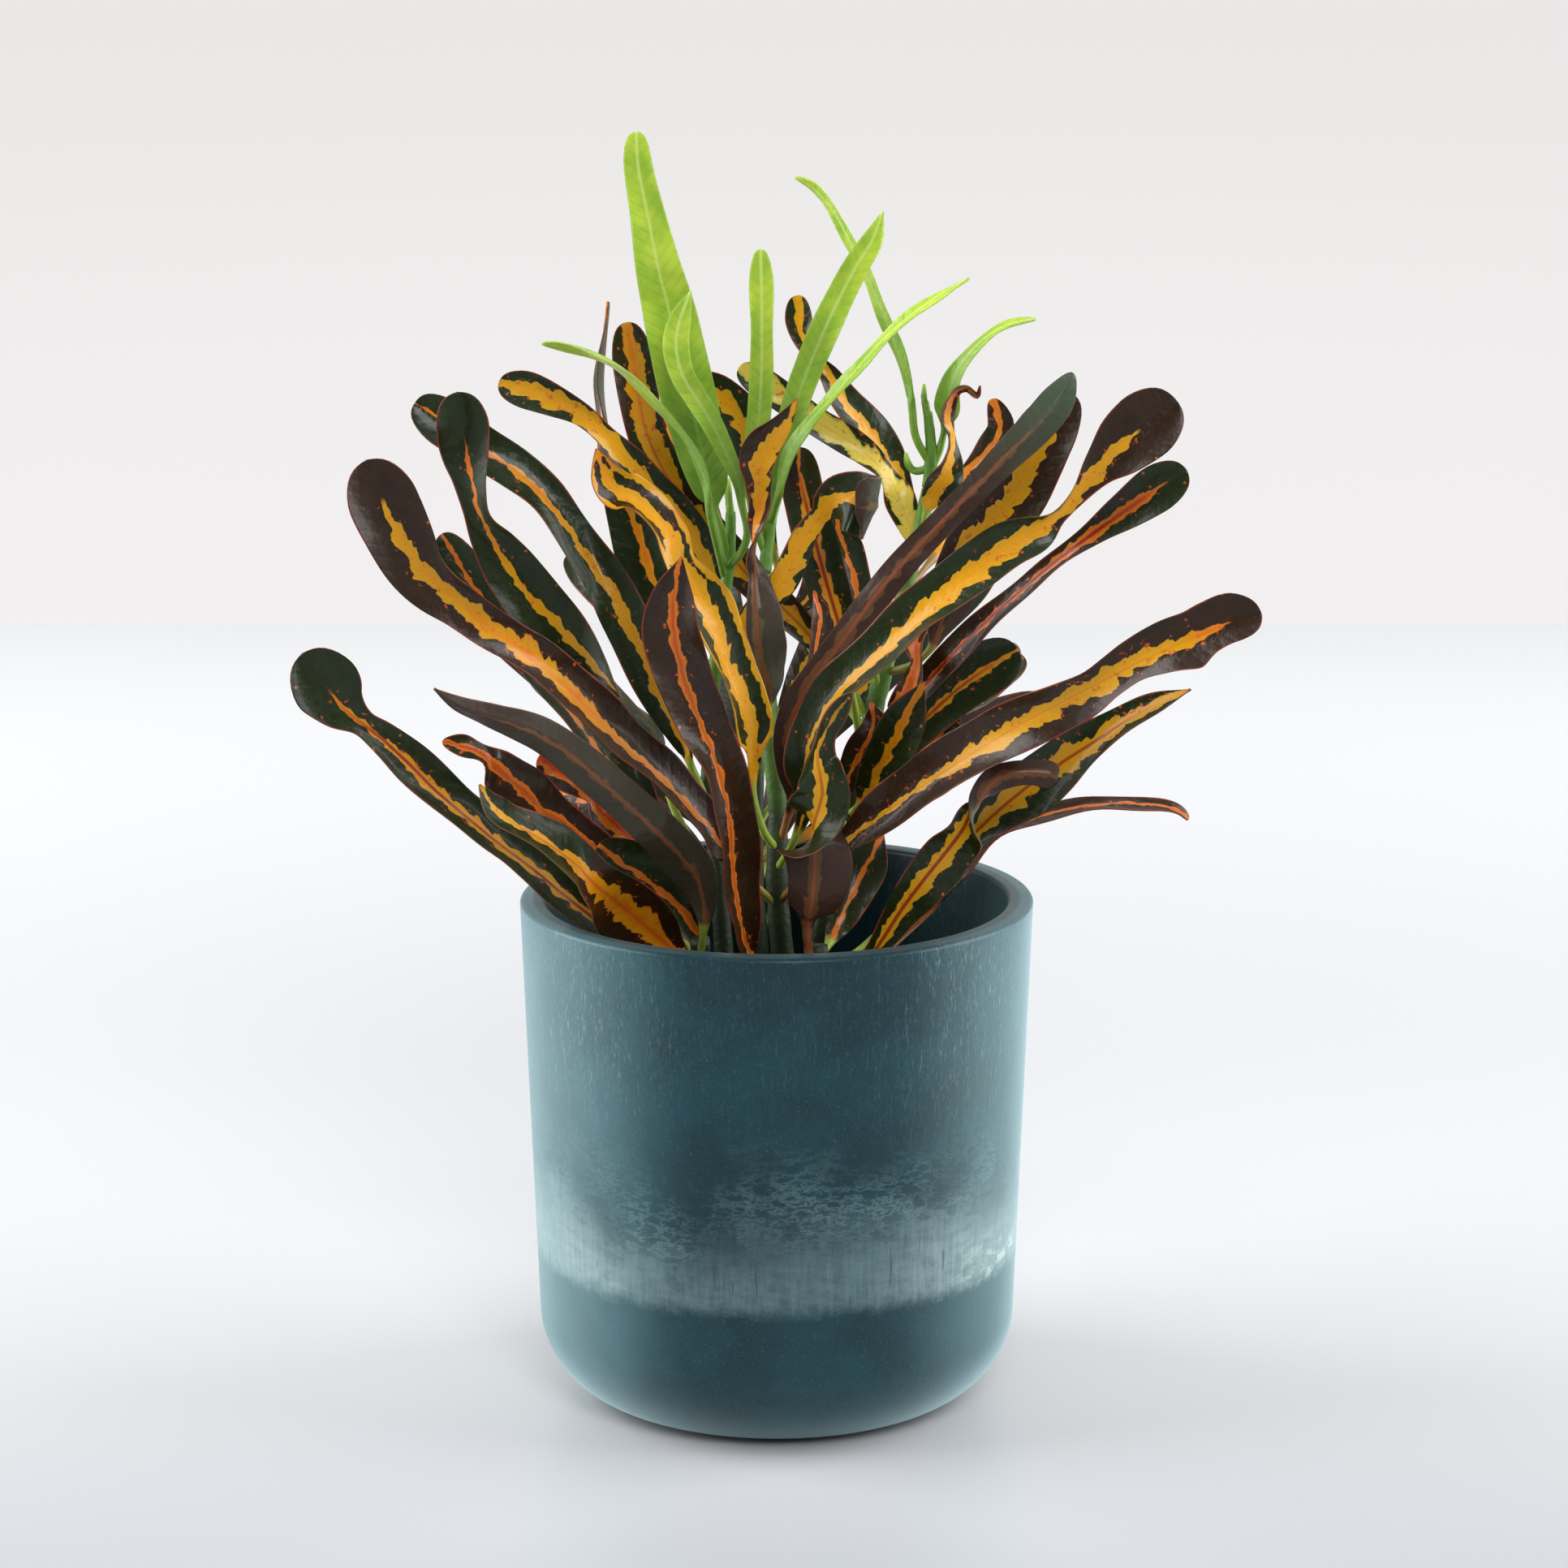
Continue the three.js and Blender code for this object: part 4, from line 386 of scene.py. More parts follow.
leaf("dark_red_twist", 18, [[-20.8, 119, 16], [-30, 126, 10], [-38, 135, 7]], [
    [-42, 143, 6, 3, 0], [-46.5, 151, 7, 4.8, -10], [-54, 157, 8, 5.2, -20], [-61.9, 162.7, 9, 6.5, -10],
    [-68.7, 168.8, 10, 8, 0], [-75, 174.5, 11, 6.5, 0], [-79.5, 179, 12, 3.5, -50],
    [-85, 181.5, 13, 3.6, -25], [-90.6, 183, 14, 2.2, 0]
], red=[0.9, 0.8, 0.8, 0.1], band=[1.2, 1.4, 1.6, 1.4, 0.5], glow=[1, 1, 0.8], rib=0.3)
leaf("pink_behind", 15, [[-20.8, 121, 15], [-27, 132, 3], [-34, 146, -3]], [
    [-38, 154, -5, 3, 0], [-42.5, 159.5, -6, 5, 0], [-46.5, 163, -6, 5, -10], [-50.5, 167.5, -7, 3, -40],
    [-55, 172, -7, 4.5, -10], [-59.5, 175.5, -8, 5.2, 0], [-64.5, 179, -8, 4.5, 0]
], red=[0.8, 0.7], band=[2.6, 3], glow=[1, 0.9])

stem("leafy_stem_front_right", [12, 107, 24, 3], [11.5, 126, 24, 2.4])
leaf("folded_burgundy", 20, [[11.6, 118, 24], [9, 122, 31]], [
    [8.5, 132.2, 32.5, 2.2, 180], [9, 134.4, 33.5, 6.4, 180], [9.7, 138.6, 34.5, 8.2, 180, -0.12],
    [10.2, 145.2, 35.2, 9.4, 178, -0.2], [10.4, 150.4, 36, 10, 172, -0.1], [10.3, 153.8, 36.8, 10.2, 150],
    [10.3, 156.2, 38, 9.8, 115], [10.4, 158.4, 39.4, 9.4, 80], [10.7, 160.9, 40.8, 9.2, 45],
    [11.5, 164.2, 42, 9, 15], [12.4, 168.9, 42.5, 8.2, 0], [11.7, 173.8, 42.5, 6.8, -10],
    [10.8, 178.7, 42.5, 5.4, -35], [12, 184.2, 43, 4.4, -50], [15.4, 189.9, 44, 3.6, -30],
    [18.4, 193.9, 45, 2.4, -10], [20.6, 196.6, 46, 0.8, 0]
], red=[1, 1, 0.7, 0.1, 0, 0, 0.2], band=[1.4, 1.8, 1.8, 2.6, 1.8, 0.4, 0.2], glow=[0.4, 0.3, 0.1, 0.1],
   rib=0.8)
leaf("front_right_flap", 12, [[11.8, 116, 24], [18.5, 118, 25]], [
    [26, 123.5, 26, 2.5, 0], [34.2, 136.2, 27, 5, 0, 0.1], [40.1, 144.4, 29, 6.6, 0, 0.12],
    [46.5, 152.7, 31, 6.8, 0, 0.13], [50.7, 158.6, 34, 5.4, 0, 0.3], [52.7, 162.3, 37, 3.8, 35],
    [54.2, 165.1, 39, 3, 95], [55.9, 168.4, 41, 3.4, 150], [59.1, 172.1, 42, 3.8, 172],
    [63.7, 173.9, 43, 3.6, 178], [68.8, 174.4, 43, 3.5, 180], [73.5, 173.9, 43, 3.9, 180],
    [76.3, 172.8, 43, 3.6, 180]
], red=[0, 0, 0.2, 0.9, 1, 1], band=[0.9, 2, 2.2, 1.6, 1.6, 1.4, 1, 0.4], glow=[0.1, 0.1, 0.3, 0.8, 0.9, 1],
   rib=1)
leaf("pointed_right", 22, [[11.9, 119, 24], [22, 124, 19], [34, 136, 17]], [
    [44, 147, 17, 3, 0], [52, 155.5, 19, 4.6, 5], [60, 163.5, 21, 6.4, 0], [68.5, 170.8, 23, 8.2, -5, 0.1],
    [77.5, 177.2, 25, 7.6, 5, 0.08], [86, 182.6, 27, 5.8, 20, -0.1], [94.5, 188.2, 29, 5, 35],
    [103, 193, 31, 3.6, 40], [112, 197.4, 33, 0.8, 40]
], red=[0.2, 0, 0.1, 0.3], band=[1.4, 2.4, 3, 2, 0.8], glow=[0.1, 0.05, 0.3], rib=0.9)
leaf("slender_red", 10, [[11.9, 117, 24], [25, 121, 12], [40, 134, 5]], [
    [50, 146.5, 2, 3.4, 50], [58, 156, 0, 4.4, 58], [68, 160.8, -2, 4.4, 62], [80, 164, -4, 4.2, 62],
    [92, 165.5, -6, 4, 62], [103, 164.9, -8, 3.2, 62], [108.8, 163.6, -9, 2.6, 58], [112, 161.3, -9, 2, 55]
], red=[1], band=[0.8, 0.7], glow=[0.9, 1])
leaf("dark_in_pot", 18, [[11.5, 121, 24], [14, 126, 18]], [
    [17, 132, 15, 4, 0], [21, 141, 13, 6, 5], [25, 149.5, 11, 6, 5], [29, 158, 9, 1, 0]
], red=[0.1, 0.2], band=[0.6], glow=[0.6])

stem("leafy_stem_back", [-5, 123, -35, 3], [-6, 150, -39, 2.6], [-5, 192, -45, 2.1], [-4, 222, -51, 1.8])
leaf("back_upright", 20, [[-5.1, 186, -44], [-8, 196, -49]], [
    [-11, 207, -54, 4, 0], [-15, 221, -61, 6.5, 5], [-19, 235, -68, 7.2, 5], [-23, 249, -75, 7.2, 0],
    [-27, 262, -82, 6.6, 0], [-29.5, 275, -90, 6, 0]
], red=[0.1, 0.3], band=[1, 2, 1.8, 0.8], glow=[0.1, 0.4])
leaf("back_upright_right", 20, [[-5.3, 176, -43], [0, 188, -50]], [
    [6, 200, -57, 4, 0], [12, 211, -64, 6, 0], [14, 222, -72, 6.4, 0], [11.5, 233, -80, 6, 0],
    [9, 243, -88, 5.2, 0]
], red=[0.9, 1], band=[1.2, 2.4, 1.4], glow=[0.2, 0.4])
leaf("back_sweep_right", 20, [[-5.8, 158, -40], [0, 168, -46]], [
    [7, 180, -53, 4, 0], [16, 192, -62, 6.8, 0], [26, 202.5, -71, 7.6, 0], [36, 212.5, -80, 7.6, 0],
    [47, 222.5, -89, 7, 0], [58, 231.5, -98, 6, 0]
], red=[0.1, 0.2], band=[1, 2.4, 2.6, 1], glow=[0.1, 0.2])
leaf("back_arm_right", 20, [[-6, 149, -39], [5, 155, -45]], [
    [16, 162, -50, 4, 0], [28, 170.5, -56, 6.6, 0], [41, 179.5, -62, 7, 0], [54, 186.5, -69, 6.6, 0],
    [65, 191, -76, 5.6, 0], [74, 194, -83, 4.2, 0]
], red=[0.9], band=[1, 2.2, 1.8, 1], glow=[0.4, 0.6])
leaf("back_sweep_left", 20, [[-6, 152, -39], [-14, 157, -47]], [
    [-22, 163.5, -54, 3.5, 0], [-33, 173.8, -63, 5.5, 0], [-45, 185.5, -72, 6, 0], [-57, 197.8, -81, 6, 0],
    [-69, 208.5, -90, 5.8, 0], [-81, 218.5, -99, 5, 0]
], red=[0, 0.1], band=[0.8, 1.6, 1.2, 0.5], glow=[0.2, 0.5])
leaf("back_low_left", 18, [[-5.6, 134, -37], [-16, 146, -44]], [
    [-26, 156, -50, 4, 0], [-36, 162.5, -57, 6.8, 0], [-47, 167, -64, 7.4, 0], [-58, 169.5, -71, 6.6, 0],
    [-68, 171, -78, 5, 0]
], red=[0.8, 0.6], band=[1, 2, 1.4], glow=[0.6, 0.8])
leaf("back_low_right", 18, [[-5.4, 130, -37], [6, 144, -45]], [
    [15, 156, -52, 4, 0], [24, 163, -61, 6, 0], [33, 168.5, -70, 6.4, 0], [42, 173, -79, 6, 0],
    [50, 177, -88, 4.5, 0]
], red=[0.1], band=[1.2, 2.6, 1.4], glow=[0.1, 0.3])
leaf("back_high_left", 20, [[-4.5, 206, -48], [-8, 211, -61]], [
    [-13, 217, -72, 4, 10], [-19, 225.5, -82, 6.5, 15], [-24, 233.5, -92, 7, 10],
    [-28, 240.5, -101, 6.4, 0], [-31, 246.5, -110, 5, 0]
], red=[0, 0.2], band=[1, 2.2, 1.8, 0.8], glow=[0.1, 0.3])
leaf("back_high_right", 20, [[-4.2, 211, -49], [3, 217, -53]], [
    [9, 223.5, -57, 3.5, 0], [12, 232, -63, 5.2, 0], [11.5, 240, -69, 5.6, 0], [9.5, 248, -76, 5.2, 0],
    [8, 255, -83, 4, 0]
], red=[0.9, 0.8], band=[1, 2, 1.4, 0.6], glow=[0.3, 0.5])
leaf("back_middle", 20, [[-5.6, 169, -42], [-6.5, 178, -52]], [
    [-7.5, 186, -62, 4.5, 0], [-9, 193.5, -74, 7, 0], [-10.5, 199.5, -87, 7.6, 0], [-11.5, 204, -100, 7, 0],
    [-12, 207, -112, 5.5, 0]
], red=[0.2, 0.6], band=[1.2, 2.8, 2.2, 0.8], glow=[0.1, 0.3])
leaf("back_low", 18, [[-5.5, 138, -37], [-3, 150, -48]], [
    [0, 160, -58, 4.5, 0], [3, 168.5, -72, 7.2, 0], [6, 174, -86, 7.6, 0], [8, 176, -100, 6, 0]
], red=[0.5, 0.8], band=[1, 2, 1], glow=[0.4, 0.5])

stem("green_shoot_left", [-13.9, 222.5, -8, 1.8], [-12.6, 236, -8, 1.7], [-12.3, 246, -8, 1.3])
leaf("tallest_green", 14, [[-13.2, 233, -8], [-14.8, 241, -6], [-16.6, 247, -5]], [
    [-17.7, 252, -4, 4.5, 5], [-19.3, 260, -3, 6.6, 8], [-21.6, 270, -3, 7.3, 8], [-24.2, 281, -2, 7.8, 8],
    [-26.6, 291.5, -2, 7.6, 5], [-28.9, 301.5, -2, 7.2, 0], [-31.6, 312.5, -1, 6.2, 0],
    [-34, 325, -1, 4.9, 0], [-36.5, 338, 0, 4, 0], [-37, 347.5, 0, 3.8, 0]
])
leaf("curled_green", 12, [[-12.9, 231, -8], [-9.5, 235, -3], [-7.8, 240.5, 0], [-9.3, 248, 2]], [
    [-10.3, 254.5, 3, 1.8, 0], [-13.5, 262, 4, 2.5, 0], [-17.5, 270.3, 5, 3, 0], [-22, 277.5, 6, 3.2, 0],
    [-25.3, 283.5, 7, 3.4, 0], [-26.8, 291, 7, 3.7, 0], [-25.6, 298, 7, 3, 0], [-22.7, 305.4, 7, 0.8, 0]
])
leaf("side_green", 8, [[-14, 228.5, -8], [-16, 237, -3], [-18, 246, 1]], [
    [-19, 255, 3, 1.8, 60], [-23, 264, 4, 2.6, 68], [-28, 271, 4, 3, 72], [-34.5, 278.2, 4, 3, 75],
    [-42, 284.7, 4, 3, 75], [-49.5, 288.7, 4, 2.8, 75], [-56.5, 290.7, 4, 2.4, 72],
    [-62.5, 291.3, 4, 1.6, 70]
])
leaf("left_bud", 5, [[-12.3, 243, -8], [-12.5, 247, -8]], [
    [-13, 250.5, -8, 1.1, 30], [-13, 255, -8, 0.7, 30]
])

stem("green_shoot_center", [-3.2, 229.6, -4, 1.8], [-2.2, 238, -5, 1.7], [-1.2, 245, -5, 1.3])
leaf("notched_green", 12, [[-2.8, 234, -5], [-5.5, 242, -4], [-7, 249, -3]], [
    [-6.8, 254.5, -2, 2.2, 0], [-5.8, 263, -2, 3, 0], [-4.6, 273, -2, 3.3, 0], [-4, 284, -2, 3.3, 0],
    [-3.9, 295, -1, 3, 0], [-4, 306, -1, 3.4, 0], [-4.2, 316.5, -1, 3.1, 0]
])
leaf("leaning_green", 14, [[-1.6, 242, -5], [-0.6, 250, -3]], [
    [0.5, 257, -1, 2.2, 0], [2.8, 267, 0, 3.4, 0], [5.8, 277.5, 1, 3.8, 0], [9.2, 286.5, 1, 4, 0],
    [13, 295.5, 2, 4.2, 0], [17, 304, 2, 3.9, 0], [21.2, 312, 3, 3.6, 0], [25.5, 319, 3, 2.9, 0],
    [28.2, 326.5, 3, 0.8, 0]
])
leaf("slender_green", 10, [[-1.4, 243, -5], [0.2, 249, 0]], [
    [2, 256, 4, 1.8, 40], [4.5, 263.5, 6, 2.4, 50], [8.5, 269.5, 7, 2.8, 55], [14, 275.5, 8, 2.8, 60],
    [20.3, 282.8, 9, 2.8, 62], [27.5, 291, 9, 2.8, 62], [35, 297.8, 9, 2.6, 62], [43, 303.8, 9, 2, 62],
    [51.2, 308.8, 9, 0.8, 62]
])

stem("green_shoot_right", [40.7, 252.6, -25, 1.9], [41.4, 262, -25, 1.7], [40.4, 273, -25, 1.2])
leaf("crossing_green", 8, [[41.2, 259, -25], [37.3, 266, -24], [36.2, 274, -24]], [
    [35.6, 280, -24, 2, 55], [33, 288.5, -24, 2.9, 60], [29.5, 297.5, -24, 3.1, 60],
    [25.5, 307, -24, 2.9, 60], [20.5, 317, -24, 2.6, 60], [15.5, 326.5, -24, 2.4, 58],
    [10, 332.7, -24, 2, 55], [5, 335.4, -24, 0.8, 55]
])
leaf("arching_green", 10, [[41.2, 257, -25], [43.5, 262.5, -25], [45, 268.5, -24]], [
    [45.8, 274, -23, 3.8, 20], [47, 281, -23, 3, 35], [50.5, 287.3, -23, 2.3, 50],
    [55.5, 292.5, -23, 2.3, 58], [61.5, 296, -23, 2, 60], [69, 297.9, -23, 0.8, 60]
])
leaf("right_bud", 5, [[40.6, 270, -25], [39.9, 274.5, -25]], [
    [39.4, 277, -25, 1.1, 30], [39.4, 280.5, -25, 0.7, 30]
])
leaf("low_bud", 5, [[41, 258, -25], [37.6, 257, -26]], [
    [35.6, 258.5, -26, 1.2, 30], [34.6, 262, -26, 0.7, 30]
])


def tone(code):
    """The linear colour of a hex code."""
    levels = [int(code[i : i + 2], 16) / 255 for i in (1, 3, 5)]
    return [v / 12.92 if v <= 0.04045 else ((v + 0.055) / 1.055) ** 2.4 for v in levels] + [1.0]


class Paint:
    """The nodes of a material or a world, and short ways to add more.

    A value may be a number, a hex colour or another node's socket.
    """

    def __init__(self, owner, end="Principled BSDF"):
        owner.use_nodes = True
        self.owner = owner
        self.tree = owner.node_tree
        self.end = self.tree.nodes[end]

    def put(self, socket, value):
        if isinstance(value, bpy.types.NodeSocket):
            self.tree.links.new(value, socket)
        elif isinstance(value, str):
            socket.default_value = tone(value)
        else:
            socket.default_value = value

    def node(self, kind, values, output=0, **settings):
        made = self.tree.nodes.new(kind)
        for key, value in settings.items():
            setattr(made, key, value)
        for key, value in values.items():
            self.put(made.inputs[key], value)
        return made.outputs[output]

    def math(self, operation, *values, clamp=False):
        return self.node("ShaderNodeMath", dict(enumerate(values)), operation=operation, use_clamp=clamp)

    def times(self, first, *others, clamp=False):
        for other in others:
            first = self.math("MULTIPLY", first, other, clamp=clamp)
        return first

    def linear(self, value, slope, start):
        return self.math("MULTIPLY_ADD", value, slope, start)

    def step(self, value, low, high):
        """A smooth rise from 0 at low to 1 at high, or a fall where low is the greater."""
        values = {"Value": value, "From Min": low, "From Max": high}
        return self.node("ShaderNodeMapRange", values, interpolation_type="SMOOTHSTEP")

    def mix(self, share, a, b):
        return self.node("ShaderNodeMix", {0: share, 6: a, 7: b}, output=2, data_type="RGBA")

    def attribute(self, name):
        vector = self.node("ShaderNodeAttribute", {}, output="Vector", attribute_name=name)
        return self.parts(vector)

    def coordinate(self, kind="Object"):
        return self.node("ShaderNodeTexCoord", {}, output=kind)

    def parts(self, vector):
        return list(self.node("ShaderNodeSeparateXYZ", {0: vector}).node.outputs)

    def vector(self, x, y, z):
        return self.node("ShaderNodeCombineXYZ", {0: x, 1: y, 2: z})

    def noise(self, vector, scale, detail=2.0, roughness=0.5):
        values = {"Vector": vector, "Scale": scale, "Detail": detail, "Roughness": roughness}
        return self.node("ShaderNodeTexNoise", values)

    def spots(self, vector, scale, size):
        """Round dots in some of the cells of a scattered pattern."""
        values = {"Vector": vector, "Scale": scale, "Randomness": 1.0}
        distance = self.node("ShaderNodeTexVoronoi", values, output="Distance")
        chosen = self.parts(distance.node.outputs["Color"])[0]
        return self.times(self.step(distance, size, size * 0.6), self.step(chosen, 0.5, 0.52))

    def veins(self, slant, turn, sharpness):
        """Evenly spaced slanting lines. The turn is in radians for each millimetre."""
        wave = self.math("ABSOLUTE", self.math("SINE", self.times(slant, turn)))
        return self.math("POWER", wave, sharpness)

    def bump(self, height, distance, strength):
        values = {"Strength": strength, "Distance": distance, "Height": height}
        return self.node("ShaderNodeBump", values)

    def finish(self, **values):
        """Fill the last node's sockets, named with _ for a space."""
        for name, value in values.items():
            self.put(self.end.inputs[name.replace("_", " ")], value)
        return self.owner


def leaf_paint():
    """Grown leaves: dark green or burgundy ground, ragged bright band, red rib and margin."""
    p = Paint(bpy.data.materials.new("variegated_leaf"))
    along, across, seed = p.attribute("place")
    band, glow, red = p.attribute("paint")
    margin, under, share = p.attribute("side")
    rib, rim, blade = p.attribute("extra")
    away = p.math("ABSOLUTE", across)
    place = p.vector(along, across, seed)
    slant = p.linear(away, -0.8, along)
    half = p.linear(p.math("SIGN", across), 9.0, seed)
    ragged = p.noise(p.vector(slant, p.times(away, 0.4), half), 0.2, 2.5)
    broad = p.noise(place, 0.09)
    fine = p.noise(place, 1.5, 3.0, 0.6)

    # The band runs out along the side veins, and small flecks lie beside it.
    swing = p.linear(ragged, 2.0, -1.0)
    edge = p.linear(swing, p.linear(band, 1.1, 1.0), band)
    inside = p.math("SUBTRACT", edge, away)
    drawn = p.step(band, 0.05, 0.5)
    in_band = p.times(p.step(inside, -0.12, 0.16), drawn)
    ragged_rim = p.times(rim, p.linear(ragged, 3.0, -0.6))
    in_rim = p.step(p.math("SUBTRACT", ragged_rim, margin), -0.1, 0.2)
    in_band = p.math("MAXIMUM", in_band, in_rim)
    in_heart = p.step(inside, 0.1, 0.9)
    dots = p.times(p.spots(place, 0.27, 0.15), p.step(margin, 3.2, 1.0))
    flecks = p.step(p.noise(place, 0.5, 3.0, 0.65), 0.62, 0.66)
    flecks = p.times(flecks, p.step(inside, -2.6, -0.6), drawn)

    # The ground is clouded, and burgundy spreads into green in broad patches.
    clouds = p.noise(place, 0.22, 4.0)
    greens = p.mix(clouds, "#0d1404", "#202f0b")
    reds = p.mix(clouds, "#1a0f06", "#372010")
    blend = p.math("ADD", red, p.linear(broad, 1.6, -0.8))
    ground = p.mix(p.step(blend, 0.3, 0.7), greens, reds)
    ground = p.mix(p.times(p.step(fine, 0.5, 0.8), 0.14), ground, "#5f5f2c")

    # The band is yellow along its sides and turns orange, then red, toward the rib.
    hot = p.math("ADD", glow, p.linear(broad, 0.5, -0.25), clamp=True)
    sides = p.mix(p.step(hot, 0.3, 0.9), "#c8920c", "#c86c12")
    core = p.mix(p.step(hot, 0.2, 0.6), "#d4920a", "#d2600e")
    core = p.mix(p.step(hot, 0.6, 0.95), core, "#b62c14")
    middle = p.step(p.math("DIVIDE", away, p.math("MAXIMUM", edge, 0.4)), 0.65, 0.1)
    bright = p.mix(middle, sides, core)
    bright = p.mix(p.times(p.step(fine, 0.52, 0.7), 0.25), bright, "#cf661c")
    lemon = p.step(glow, -0.1, -0.9)
    bright = p.mix(lemon, bright, "#d2b84a")
    fringe = p.mix(p.step(hot, 0.2, 0.6), "#c89416", "#cb6c18")
    fringe = p.mix(lemon, fringe, "#a8a03c")
    upper = p.mix(in_band, ground, p.mix(in_heart, fringe, bright))
    upper = p.mix(p.times(p.math("MAXIMUM", flecks, dots), 0.85), upper, "#c2561f")

    # The rib is a fine red line on some leaves, fades toward the tip, and hardly shows on others.
    in_rib = p.step(p.math("SUBTRACT", p.linear(rib, 0.3, 0.2), away), -0.15, 0.15)
    in_rib = p.times(in_rib, p.step(share, 0.95, 0.6))
    rib_colour = p.mix(rib, "#b98a2a", "#84200f")
    upper = p.mix(p.times(in_rib, p.linear(rib, 0.65, 0.25)), upper, rib_colour)
    broken = p.times(p.step(margin, 0.5, 0.2), p.step(broad, 0.4, 0.6))
    upper = p.mix(p.times(broken, 0.75), upper, "#8e3220")

    # The underside is duller, and the stalk is plain and redder on the redder leaves.
    lower = p.mix(p.step(red, 0.1, 0.9), "#3c4a38", "#341f16")
    lower = p.mix(p.times(in_band, 0.22), lower, "#9a6a2e")
    lower = p.mix(p.times(in_rib, 0.7), lower, "#8a4028")
    colour = p.mix(p.step(under, 0.3, 0.7), upper, lower)
    stalk = p.mix(p.step(red, 0.6, 1.0), "#8ba03c", "#8a5a34")
    colour = p.mix(p.step(blade, 0.4, 0.05), colour, stalk)

    height = p.linear(p.veins(slant, 0.85, 6.0), -0.12, p.times(p.noise(place, 0.3, 3.0), 1.2))
    return p.finish(
        Base_Color=colour,
        Roughness=p.linear(fine, 0.16, p.linear(under, 0.14, 0.27)),
        Normal=p.bump(height, 0.0006, 0.5),
        Specular_IOR_Level=0.22,
        Coat_Weight=0.14,
        Coat_Roughness=0.12,
    )


def young_paint():
    """Young leaves: fresh green, painted darker at the base as painted shade, with a pale rib and margin and
    fine veins.
    """
    p = Paint(bpy.data.materials.new("young_leaf"))
    along, across, seed = p.attribute("place")
    margin, under, share = p.attribute("side")
    away = p.math("ABSOLUTE", across)
    place = p.vector(along, across, seed)
    veins = p.veins(p.linear(away, -0.9, along), 0.9, 8.0)
    in_rib = p.step(p.math("SUBTRACT", 0.42, away), -0.2, 0.2)
    colour = p.mix(p.step(p.noise(place, 0.12, 3.0), 0.3, 0.7), "#8bb02c", "#b4cc3c")
    colour = p.mix(p.times(p.step(margin, 0.7, 0.2), 0.4), colour, "#bcd868")
    colour = p.mix(p.times(veins, 0.16), colour, "#78a024")
    colour = p.mix(p.times(in_rib, 0.6), colour, "#c6dc78")
    colour = p.mix(p.times(under, 0.4), colour, "#9cc050")
    # The base is painted darker, as painted shade deeper in the bush.
    colour = p.mix(p.times(p.step(share, 0.8, 0.0), 0.75), colour, "#4a7a26")
    height = p.linear(veins, -0.25, p.noise(place, 0.4, 3.0))
    return p.finish(
        Base_Color=colour,
        Roughness=p.linear(p.noise(place, 0.5), 0.2, 0.25),
        Normal=p.bump(height, 0.0005, 0.5),
        Specular_IOR_Level=0.35,
    )


def stem_paint():
    """Stems: green above, woody and scarred below."""
    p = Paint(bpy.data.materials.new("stem"))
    place = p.coordinate()
    height = p.parts(place)[2]
    age = p.math("ADD", height, p.linear(p.noise(place, 90.0), 0.08, -0.04))
    bark = p.mix(p.noise(place, 420.0, 3.0), "#0d1706", "#213010")
    fresh = p.mix(p.noise(place, 260.0), "#3c6622", "#66942f")
    grain = p.noise(place, 700.0, 4.0)
    return p.finish(
        Base_Color=p.mix(p.step(age, 0.15, 0.21), bark, fresh),
        Roughness=p.linear(grain, 0.25, 0.4),
        Normal=p.bump(grain, 0.0004, 0.6),
        Specular_IOR_Level=0.4,
    )


